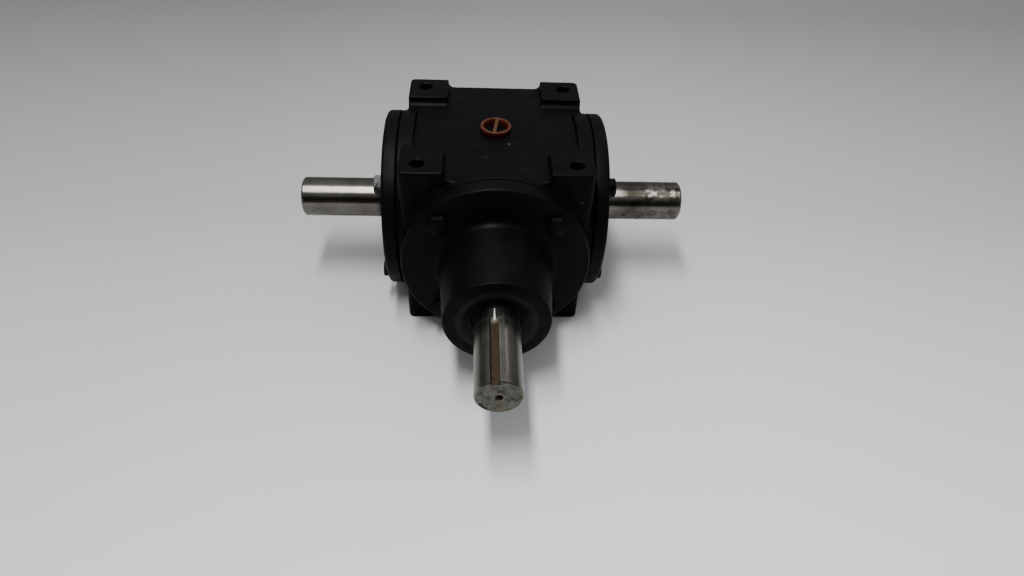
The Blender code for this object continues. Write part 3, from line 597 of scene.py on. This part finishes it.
def cut_end_look():
    """The faced end of a shaft, mottled grey with rust specks; the front one has a nick and a stain."""
    look = Look("cut_end_steel", metallic=0.3, specular=0.2)
    mottle = look.span(look.noise(260.0, 8.0, 0.72), 0.36, 0.62)
    tone = look.mix(mottle, (0.026, 0.026, 0.019), (0.122, 0.120, 0.098))
    specks = look.math("MAXIMUM", look.spots(520.0, 0.2), look.span(look.noise(120.0, 5.0, 0.6), 0.60, 0.70))
    tone = look.mix(specks, tone, (0.018, 0.013, 0.008))
    nick = look.near((-11.0 * MM, -INPUT_REACH, AXIS_Z - 9.8 * MM), 5.0 * MM)
    inner = look.near((0, -INPUT_REACH, AXIS_Z), 14.4 * MM)
    nick = look.math("MULTIPLY", look.span(nick, 0.1, 0.4), look.span(inner, 0.30, 0.14))
    tone = look.mix(nick, tone, (0.011, 0.007, 0.003))
    stain = look.near((2.0 * MM, -INPUT_REACH, AXIS_Z - 14.0 * MM), 8.0 * MM)
    stain = look.math("MULTIPLY", stain, look.noise(200.0))
    look.colour(look.mix(stain, tone, (0.105, 0.085, 0.050)))
    look.roughness(look.span(look.noise(500.0, 4.0), 0.3, 0.7, 0.42, 0.66))
    look.bump(look.noise(1200.0, 3.0), 0.03 * MM)
    return look.made


def seal_look():
    """Matt black rubber."""
    look = Look("seal_rubber", specular=0.12)
    look.colour(look.mix(look.noise(120.0, 5.0), (0.0030, 0.0030, 0.0032), (0.0062, 0.0060, 0.0058)))
    look.roughness(look.span(look.noise(240.0, 4.0), 0.3, 0.7, 0.5, 0.7))
    look.bump(look.noise(1500.0, 2.0), 0.02 * MM)
    return look.made


def plug_look():
    """Faded orange plastic, paler on the top of its rim and web, whose cup is made nearly black as painted
    shade.
    """
    look = Look("orange_plug", specular=0.08)
    top = PLUG_HIGH.z
    height, radius = look.axis("Z"), look.from_axis()
    tone = look.mix(look.noise(90.0, 5.0), (0.021, 0.0028, 0.0010), (0.042, 0.0072, 0.0024))
    dirt = look.span(look.noise(240.0, 6.0, 0.7), 0.56, 0.74, 0.0, 0.5)
    tone = look.mix(dirt, tone, (0.020, 0.006, 0.003))
    # Paler on the top of the rim.
    paler_top = look.span(height, top - 1.3 * MM, top - 0.2 * MM)
    paler_top = look.math("MULTIPLY", paler_top, look.span(look.noise(400.0), 0.3, 0.6, 0.2, 0.75))
    tone = look.mix(paler_top, tone, (0.076, 0.028, 0.016))
    # Painted shade: the cup below the rim is made nearly black.
    sunk = look.span(height, top - 1.2 * MM, top - 3.6 * MM)
    inside = look.span(radius, PLUG_R - 1.9 * MM, PLUG_R - 2.3 * MM)
    web = look.span(radius, PLUG_R - 2.6 * MM, PLUG_R - 3.2 * MM)
    web = look.math("MULTIPLY", web, look.span(height, top - 0.9 * MM, top - 0.5 * MM))
    tone = look.mix(look.math("MULTIPLY", web, look.noise(260.0)), tone, (0.052, 0.034, 0.018))
    look.colour(look.mix(look.math("MULTIPLY", sunk, inside), tone, (0.0190, 0.0022, 0.0008)))
    look.roughness(look.span(look.noise(300.0, 4.0), 0.3, 0.7, 0.36, 0.6))
    look.bump(look.noise(700.0, 3.0), 0.03 * MM)
    return look.made


def inner_look(name, dark, bright, roughness, metallic=1.0, specular=0.5):
    """A machined or moulded inner piece: two tones in fine streaks under a film of oil."""
    look = Look(name, roughness=roughness, metallic=metallic, specular=specular)
    look.colour(look.mix(look.noise(180.0, 5.0, 0.6), dark, bright))
    look.roughness(look.span(look.noise(60.0, 4.0), 0.3, 0.7, roughness * 0.75, roughness * 1.25))
    look.bump(look.noise(900.0, 2.0), 0.01 * MM)
    return look.made


# ---------------------------------------------------------------- the housing casting


def join_round(first, second, radius):
    """The union of two solids given by their distances, with a concave fillet where they meet."""
    corner = np.hypot(np.maximum(radius - first, 0), np.maximum(radius - second, 0))
    return np.maximum(np.minimum(first, second), radius) - corner


def keep_round(first, second, radius):
    """What two solids share, with a rounded edge where their surfaces meet."""
    corner = np.hypot(np.maximum(radius + first, 0), np.maximum(radius + second, 0))
    return np.minimum(np.maximum(first, second), -radius) + corner


def housing_distance(x, y, z):
    """Distance from the casting's surface, negative inside, of points round the axes' crossing."""
    ax, ay, az = np.abs(x), np.abs(y), np.abs(z)
    corner = 4.0 * MM
    over_x, over_y = ax - (HALF_WIDTH - corner), ay - (HALF_WIDTH - corner)
    outside = np.hypot(np.maximum(over_x, 0), np.maximum(over_y, 0))
    sides = outside + np.minimum(np.maximum(over_x, over_y), 0) - corner
    pads = keep_round(PAD_INNER - ax, PAD_INNER - ay, 2.5 * MM)
    decks = join_round(az - DECK, pads, 4.5 * MM)
    decks = keep_round(decks, az - PAD_TOP, 1.0 * MM)
    solid = keep_round(sides, decks, 1.6 * MM)
    for along, across, reach in ((ax, ay, ax), (-y, ax, ay)):
        boss = keep_round(np.hypot(across, az) - FLANGE_R, along - BOSS_FACE, 0.7 * MM)
        boss = keep_round(boss, BOSS_START - along, 1.2 * MM)
        solid = join_round(solid, boss, 1.8 * MM)
    cavity = keep_round(np.hypot(x, y) - CAVITY_R, az - CAVITY_HALF, 5.0 * MM)
    cross_bore = np.hypot(y, z) - HOUSING_BORE_R
    front_bore = np.maximum(np.hypot(x, z) - HOUSING_BORE_R, y)
    for hollow in (cavity, cross_bore, front_bore):
        solid = keep_round(solid, -hollow, 0.5 * MM)
    from_hole = np.hypot(ax - MOUNT_AT, ay - MOUNT_AT)
    countersink = from_hole - MOUNT_R - np.maximum(az - PAD_TOP + 0.9 * MM, 0)
    hole = np.maximum(countersink, PAD_TOP - MOUNT_DEPTH - az)
    return keep_round(solid, -hole, 0.3 * MM)


def slope_of(field, points, reach=0.02 * MM):
    """The field's gradient at each point, by small steps both ways."""
    columns = []
    for axis in range(3):
        step = np.zeros(3)
        step[axis] = reach
        ahead, behind = points + step, points - step
        columns.append((field(*ahead.T) - field(*behind.T)) / (2 * reach))
    return np.stack(columns, axis=1)


def settled(field, points, rounds=3):
    """Moves points onto the surface where the field is zero."""
    for _ in range(rounds):
        slope = slope_of(field, points)
        size = np.maximum((slope**2).sum(axis=1), 0.25)
        move = slope * (field(*points.T) / size)[:, None]
        points = points - np.clip(move, -0.6 * MM, 0.6 * MM)
    return points


def surface_net(field, reach, step):
    """Points and four-sided faces of the surface where a field is zero, in a cube of the given half side.

    Each grid cell that the surface passes through gets one point, the mean of where it crosses the cell's
    edges; each grid edge that it crosses gets a face between the four cells round it.
    """
    ticks = np.arange(-reach, reach + step, step)
    x, y, z = np.meshgrid(ticks, ticks, ticks, indexing="ij", sparse=True)
    value = field(x, y, z)
    inside = value < 0
    count = sum(
        inside[i : i - 1 or None, j : j - 1 or None, k : k - 1 or None].astype(np.int8)
        for i in (0, 1)
        for j in (0, 1)
        for k in (0, 1)
    )
    cells = np.argwhere((count > 0) & (count < 8))
    number = np.full(count.shape, -1, np.int64)
    number[tuple(cells.T)] = np.arange(len(cells))
    total, hits = np.zeros((len(cells), 3)), np.zeros(len(cells))
    units = np.eye(3, dtype=int)
    for axis in range(3):
        first, second = (units[other] for other in range(3) if other != axis)
        for offset in (0 * first, first, second, first + second):
            near = cells + offset
            far = near + units[axis]
            a, b = value[tuple(near.T)], value[tuple(far.T)]
            crosses = (a < 0) != (b < 0)
            share = np.where(crosses, a / np.where(crosses, a - b, 1), 0)
            total += np.where(crosses[:, None], offset + share[:, None] * units[axis], 0)
            hits += crosses
    points = (cells + total / hits[:, None]) * step - reach
    faces = []
    for axis in range(3):
        first, second = units[(axis + 1) % 3], units[(axis + 2) % 3]
        low = np.delete(inside, -1, axis)
        high = np.delete(inside, 0, axis)
        for start, rising in ((low & ~high, True), (high & ~low, False)):
            at = np.argwhere(start)
            ring = [at, at - first, at - first - second, at - second]
            quads = np.stack([number[tuple(corner.T)] for corner in ring], axis=1)
            faces.append(quads if rising else quads[:, ::-1])
    return points, np.concatenate(faces)


def make_housing(look):
    """The casting: a fine net, thinned where it is flat, put back on the surface and given true normals."""
    points, faces = surface_net(housing_distance, NET_REACH, NET_STEP)
    points = settled(housing_distance, points)
    mesh = bpy.data.meshes.new("housing_casting")
    mesh.from_pydata(points.tolist(), [], faces.tolist())
    made = bpy.data.objects.new("housing_casting", mesh)
    bpy.context.scene.collection.objects.link(made)
    thin = made.modifiers.new("thin", "DECIMATE")
    thin.ratio = KEPT_FACES
    bake(made)
    mesh = made.data
    found = np.zeros(len(mesh.vertices) * 3)
    mesh.vertices.foreach_get("co", found)
    found = settled(housing_distance, found.reshape(-1, 3), 2)
    normals = slope_of(housing_distance, found)
    normals /= np.linalg.norm(normals, axis=1)[:, None]
    found[:, 2] += AXIS_Z
    mesh.vertices.foreach_set("co", found.ravel())
    mesh.shade_smooth()
    mesh.update()
    mesh.normals_split_custom_set_from_vertices(normals.tolist())
    mesh.materials.clear()
    mesh.materials.append(look)
    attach(made, "root")
    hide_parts("housing")


# ---------------------------------------------------------------- covers and quill


def cover_corners():
    """A side cover: spigot, flange and a shallow groove round the seal."""
    return [
        (SPIGOT_END, BORE_R, 0),
        (SPIGOT_END, SPIGOT_R, 0.8 * MM),
        (FLANGE_SEAT, SPIGOT_R, 0),
        (FLANGE_SEAT, FLANGE_R, 0.5 * MM),
        (COVER_FACE, FLANGE_R, 2.6 * MM),
        (COVER_FACE, 41.0 * MM, 0.4 * MM),
        (COVER_FACE - 0.8 * MM, 40.2 * MM, 0.4 * MM),
        (COVER_FACE - 0.8 * MM, 38.6 * MM, 0.4 * MM),
        (COVER_FACE, 37.8 * MM, 0.4 * MM),
        (COVER_FACE, BORE_R + 0.2 * MM, 0),
        (COVER_FACE - 0.2 * MM, BORE_R, 0),
    ]


def quill_corners():
    """The front bearing carrier: spigot, flange and a nose that tapers toward the shaft."""
    return [
        (SPIGOT_END, BORE_R, 0),
        (SPIGOT_END, SPIGOT_R, 0.8 * MM),
        (FLANGE_SEAT, SPIGOT_R, 0),
        (FLANGE_SEAT, FLANGE_R, 0.5 * MM),
        (QUILL_FACE, FLANGE_R, 2.4 * MM),
        (QUILL_FACE, 42.2 * MM, 6.0 * MM),
        (NOSE_END, 37.8 * MM, 1.6 * MM),
        (NOSE_END, BORE_R + 0.2 * MM, 0),
        (NOSE_END - 0.2 * MM, BORE_R, 0),
    ]


def make_flanges(look):
    """The two covers and the quill."""
    for name, corners, turn in (
        ("left_cover", cover_corners(), ALONG_LEFT),
        ("right_cover", cover_corners(), ALONG_X),
        ("pinion_quill", quill_corners(), ALONG_FRONT),
    ):
        made = new_object(f"{name}_casting", turned(rounded(corners)), [look], turn)
        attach(made, "root")
        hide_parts(name)


# ---------------------------------------------------------------- bolts, plugs and seals


def bolt_mesh(look):
    """A hex bolt seated at height 0: a chamfered head with a washer face, and its shank below."""
    corner_r = BOLT_FLATS / sqrt(3)
    crown_r = BOLT_FLATS * 0.47
    washer_r = BOLT_FLATS * 0.48
    head = new_object("bolt_blank", hexagon(0.5 * MM, BOLT_HEAD, BOLT_FLATS), [look])
    shoulder = BOLT_HEAD - (corner_r - crown_r) * tan(radians(30))
    cone = [(0, 0), (0, corner_r * 1.1), (shoulder, corner_r), (BOLT_HEAD, crown_r), (BOLT_HEAD, 0)]
    combine(head, new_object("bolt_cone", turned(cone, 64, closed=False), []), "INTERSECT")
    shank = rounded(
        [
            (1.0 * MM, 0, 0),
            (1.0 * MM, washer_r, 0),
            (0.1 * MM, washer_r, 0.2 * MM),
            (0.1 * MM, SHANK_R, 0),
            (-BOLT_LENGTH + 1.0 * MM, SHANK_R, 0),
            (-BOLT_LENGTH, SHANK_R - 1.0 * MM, 0),
            (-BOLT_LENGTH, 0, 0),
        ]
    )
    combine(head, new_object("bolt_shank", turned(shank, 48, closed=False), []), "UNION")
    soften(head, 0.25 * MM, angle=35)
    mesh = head.data
    bpy.data.objects.remove(head)
    mesh.materials.clear()
    mesh.materials.append(look)
    return mesh


def make_bolts(look, pale_top_look):
    """The twelve flange bolts; the left cover's upper front one is lighter grey on its upper flats."""
    shared = bolt_mesh(look)
    lightened = shared.copy()
    lightened.materials[0] = pale_top_look
    for flange in ("left_cover", "right_cover", "pinion_quill"):
        for number in (1, 2, 3, 4):
            node = f"{flange}_bolt_{number}"
            low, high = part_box(node)
            middle = (low + high) / 2
            if flange == "left_cover":
                turn, seat = ALONG_LEFT, Vector((-COVER_FACE, middle.y, middle.z))
            elif flange == "right_cover":
                turn, seat = ALONG_X, Vector((COVER_FACE, middle.y, middle.z))
            else:
                turn, seat = ALONG_FRONT, Vector((middle.x, -QUILL_FACE, middle.z))
            paler_top = flange == "left_cover" and middle.y < 0 and middle.z > AXIS_Z
            made = bpy.data.objects.new(f"{node}_hex", lightened if paler_top else shared)
            bpy.context.scene.collection.objects.link(made)
            spin = Matrix.Rotation(radians(BOLT_TURNS[flange][number - 1]), 4, "Z")
            made.matrix_world = Matrix.Translation(seat) @ turn @ spin
            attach(made, "root")
            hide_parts(node)


def make_filler_plug(look):
    """A deep cup with a raised rim and a thin grip web across it."""
    top = PLUG_HIGH.z - AXIS_Z
    bottom = PLUG_LOW.z - AXIS_Z
    seat = top - PLUG_RISE
    floor = seat - 4.0 * MM
    corners = [
        (bottom, 0, 0),
        (bottom, 10.0 * MM, 0.8 * MM),
        (seat, 10.0 * MM, 0),
        (seat, PLUG_R, 0.4 * MM),
        (top, PLUG_R, 0.9 * MM),
        (top, PLUG_R - 2.3 * MM, 0.7 * MM),
        (floor, 7.6 * MM, 1.0 * MM),
        (floor, 0, 0),
    ]
    made = new_object("filler_plug_cap", turned(rounded(corners), 96, closed=False), [look], UPRIGHT)
    web = bmesh.new()
    size = Matrix.Diagonal((2.5 * MM, 19.4 * MM, top - floor, 1))
    place = Matrix.Translation((0, 0, (top + floor) / 2 - 0.3 * MM))
    bmesh.ops.create_cube(web, size=1.0, matrix=place @ size)
    combine(made, new_object("plug_web", web, [], Matrix.Rotation(radians(-8), 4, "Z")), "UNION")
    soften(made, 0.35 * MM, angle=40, segments=3)
    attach(made, "root")
    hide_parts("filler_plug")


def make_rear_plugs(look):
    """Square-headed pipe plugs on collars on the rear face."""
    for node in ("level_plug", "drain_plug"):
        low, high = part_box(node)
        height = (low.z + high.z) / 2 - AXIS_Z
        face = HALF_WIDTH + 1.3 * MM
        collar = [
            (-face, 0, 0),
            (-face, 6.5 * MM, 0.5 * MM),
            (-low.y, 6.5 * MM, 0.6 * MM),
            (-low.y, 0, 0),
        ]
        bm = turned(rounded(collar), 64, closed=False)
        bmesh.ops.translate(bm, verts=bm.verts, vec=(0, height, 0))
        made = new_object(f"{node}_pipe_plug", bm, [look], ALONG_FRONT)
        head = bmesh.new()
        reach = high.y - face + 2 * MM
        size = Matrix.Diagonal((8.0 * MM, 8.0 * MM, reach, 1))
        place = Matrix.Translation((0, height, -high.y + reach / 2))
        bmesh.ops.create_cube(head, size=1.0, matrix=place @ size)
        combine(made, new_object("plug_head", head, [], ALONG_FRONT), "UNION")
        soften(made, 0.5 * MM, angle=40, segments=3)
        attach(made, "root")
        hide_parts(node)


def make_seals(look):
    """Lip seals: a flat outer annulus, a dished web and a lip that reaches the shaft."""
    lip = SEAT_R + 0.25 * MM
    for node, face, turn in (
        ("left_seal", COVER_FACE, ALONG_LEFT),
        ("right_seal", COVER_FACE, ALONG_X),
        ("input_seal", NOSE_END, ALONG_FRONT),
    ):
        high = face - 0.2 * MM
        low = face - SEAL_DEPTH
        corners = [
            (low, SEAL_R - 1.5 * MM, 0),
            (low, SEAL_R, 0.4 * MM),
            (high, SEAL_R, 0.2 * MM),
            (high, 30.1 * MM, 0.2 * MM),
            (high - 0.8 * MM, 29.8 * MM, 0),
            (high - 0.8 * MM, 29.6 * MM, 0),
            (high, 29.3 * MM, 0.3 * MM),
            (high, 24.5 * MM, 2.0 * MM),
            (high - 2.4 * MM, 20.5 * MM, 0.7 * MM),
            (high - 3.4 * MM, lip, 0.3 * MM),
            (low + 1.5 * MM, lip + 1.2 * MM, 0.3 * MM),
            (low + 1.5 * MM, SEAL_R - 1.5 * MM, 0),
        ]
        made = new_object(f"{node}_ring", turned(rounded(corners)), [look], turn)
        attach(made, "root")
        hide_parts(node)


# ---------------------------------------------------------------- shafts


def end_corners(reach, chamfer):
    """The end of a shaft: its chamfer and its centre hole."""
    return [
        (reach - chamfer, SHAFT_R, 0.3 * MM),
        (reach, SHAFT_R - chamfer, 0.3 * MM),
        (reach, 2.6 * MM, 0.15 * MM),
        (reach - 2.4 * MM, 1.2 * MM, 0),
        (reach - 8.0 * MM, 1.2 * MM, 0),
        (reach - 8.0 * MM, 0, 0),
    ]


def keyway(start, end):
    """The space milled for a key: open at the shaft's end, running out over the cutter's arc at its start."""
    floor = SHAFT_R - KEY_DEPTH
    centre = floor + KEY_CUTTER_R
    outside = SHAFT_R + 2 * MM
    widest = atan2(sqrt(KEY_CUTTER_R**2 - (centre - outside) ** 2), centre - outside)
    steps = 18
    arc = []
    for step in range(steps + 1):
        angle = widest * (1 - step / steps)
        arc.append((start - KEY_CUTTER_R * sin(angle), centre - KEY_CUTTER_R * cos(angle)))
    return prism([*arc, (end + 2 * MM, floor), (end + 2 * MM, outside)], KEY_WIDTH)


def paint_shaft(made, along, reach, keyway_start, seat_end):
    """Gives the keyway, the end faces and the seat their own materials; the centre hole takes the dark keyway
    film and the seat takes black paint, both as painted shade.

    along is the number of the shaft's axis; the other three are distances along it from the crossing.
    """
    for face in made.data.polygons:
        centre = face.center - Vector((0, 0, AXIS_Z))
        away = abs(centre[along])
        across = centre.copy()
        across[along] = 0
        in_centre_hole = across.length < 2.7 * MM and away > reach - 9 * MM
        on_end = abs(face.normal[along]) > 0.95 and away > reach - 0.5 * MM
        below_surface = across.length < SHAFT_R - 0.05 * MM
        in_keyway = keyway_start - 16 * MM < away < reach - 1.7 * MM and below_surface
        # The centre hole is made dark as painted shade.
        if in_centre_hole:
            face.material_index = KEYWAY
        elif on_end:
            face.material_index = CUT_END
        elif in_keyway:
            face.material_index = KEYWAY
        # The seat is black as painted shade in the gap round the shaft.
        elif away < seat_end + 0.5 * MM:
            face.material_index = SEAT


def make_shaft(name, corners, cutters, looks, turn, body, zones):
    """One shaft with its keyways cut; zones is what paint_shaft needs."""
    made = new_object(name, turned(rounded(corners), closed=False), looks, turn)
    for bm, cutter_turn in cutters:
        combine(made, new_object("slot", bm, [], cutter_turn), "DIFFERENCE")
    mesh = made.data
    mesh.shade_smooth()
    mesh.set_sharp_from_angle(angle=radians(20))
    paint_shaft(made, *zones)
    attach(made, body)
    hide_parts(body)


def make_shafts(cut_end, seat):
    """The input shaft and the cross shaft, each stepped for the bearings inside."""
    front_steel = shaft_look("input_shaft_steel", (420, 14, 420), "Y", 0.45, 0.25)
    side_steel = shaft_look("cross_shaft_steel", (14, 420, 420), "X", 0.94, 0.24, with_tarnish_and_sheen=True)
    front_looks = [front_steel, front_keyway_look(), cut_end, seat]  # in the order STEEL to SEAT
    side_looks = [side_steel, side_keyway_look(), cut_end, seat]
    seat_end = NOSE_END - 2.5 * MM
    input_corners = [
        (25.5 * MM, 0, 0),
        (25.5 * MM, 15.0 * MM, 0),
        (26.5 * MM, 16.0 * MM, 0),
        (SPIGOT_END, 16.0 * MM, 0),
        (SPIGOT_END, SEAT_R, 0),
        (seat_end - 1 * MM, SEAT_R, 0),
        (seat_end, SHAFT_R, 0.4 * MM),
        *end_corners(INPUT_REACH, 1.0 * MM),
    ]
    front_turn = ALONG_FRONT @ Matrix.Rotation(pi / 2 + FRONT_KEY_TURN, 4, "Z")
    front_slot = (keyway(FRONT_KEY_START, INPUT_REACH), front_turn)
    zones = (1, INPUT_REACH, FRONT_KEY_START, seat_end)
    make_shaft("input_shaft_bar", input_corners, [front_slot], front_looks, ALONG_FRONT, "input_shaft", zones)

    seat_end = COVER_FACE - 2.5 * MM
    right = end_corners(CROSS_REACH, 1.6 * MM)
    left = [(-height, radius, fillet) for height, radius, fillet in reversed(right)]
    cross_corners = [
        *left,
        (-seat_end, SHAFT_R, 0.4 * MM),
        (-seat_end + 1 * MM, SEAT_R, 0),
        (-SPIGOT_END, SEAT_R, 0),
        (-SPIGOT_END, 19.0 * MM, 0),
        (-28.9 * MM, 19.0 * MM, 0),
        (-28.9 * MM, 23.0 * MM, 0),
        (-21.9 * MM, 23.0 * MM, 0),
        (-18.9 * MM, 20.0 * MM, 0),
        (SPIGOT_END, 20.0 * MM, 0),
        (SPIGOT_END, SEAT_R, 0),
        (seat_end - 1 * MM, SEAT_R, 0),
        (seat_end, SHAFT_R, 0.4 * MM),
        *right,
    ]
    slots = []
    for turn, angle in ((ALONG_X, radians(20)), (ALONG_LEFT, radians(160))):
        slots.append((keyway(SIDE_KEY_START, CROSS_REACH), turn @ Matrix.Rotation(angle, 4, "Z")))
    zones = (0, CROSS_REACH, SIDE_KEY_START, seat_end)
    make_shaft("cross_shaft_bar", cross_corners, slots, side_looks, ALONG_X, "cross_shaft", zones)


def dress_inner_nodes():
    """Gives every CAD node that stays in the model the material of its slot."""
    looks = {
        "bearing_steel": inner_look("bearing_steel_ground", (0.42, 0.42, 0.41), (0.62, 0.62, 0.61), 0.18),
        "gear_steel": inner_look("gear_steel_oiled", (0.20, 0.19, 0.17), (0.38, 0.37, 0.35), 0.32),
        "dark_steel": inner_look("dark_steel_oxide", (0.015, 0.015, 0.016), (0.05, 0.05, 0.052), 0.45, 0.7),
        "shim_fibre": inner_look(
            "shim_fibre_sheet", (0.0006, 0.0006, 0.0005), (0.0012, 0.0011, 0.0010), 0.8, 0.0, 0.03
        ),
    }
    slots = {part["node"]: part["material_slot"] for part in frame["record"]["subparts"]}
    for node, slot in slots.items():
        if slot in looks:
            made = NODES[node]
            if not made.material_slots:
                made.data.materials.append(None)
            for held in made.material_slots:
                held.material = looks[slot]


# ---------------------------------------------------------------- the scene

make_camera()
make_stage()
make_light()
# Chips in the paint: place, radius and how bare they are
chips = [
    (Vector((9.7 * MM, -19.5 * MM, AXIS_Z + DECK)), 1.5 * MM, 1.0),
    (Vector((13.2 * MM, -17.6 * MM, AXIS_Z + DECK)), 1.1 * MM, 0.35),
    (Vector((-8.3 * MM, -38.3 * MM, AXIS_Z + DECK)), 2.6 * MM, 0.12),
    (Vector((-30.5 * MM, -3.7 * MM, AXIS_Z + DECK)), 1.6 * MM, 0.12),
    (Vector((61.4 * MM, -HALF_WIDTH, AXIS_Z + 48.0 * MM)), 1.2 * MM, 1.0),
]
cast_paint = paint_look("black_paint_cast", 0.10 * MM, chips)
flange_paint = paint_look("black_paint_turned", 0.04 * MM)
bolt_paint = paint_look("black_paint_bolt", 0.03 * MM)
make_housing(cast_paint)
make_flanges(flange_paint)
make_bolts(bolt_paint, pale_top_bolt_look())
make_filler_plug(plug_look())
plug_steel = inner_look("plug_steel_painted", (0.002, 0.002, 0.002), (0.006, 0.006, 0.006), 0.5, 0.0, 0.10)
make_rear_plugs(plug_steel)
make_seals(seal_look())
# The seat takes the black bolt paint as painted shade.
make_shafts(cut_end_look(), bolt_paint)
dress_inner_nodes()
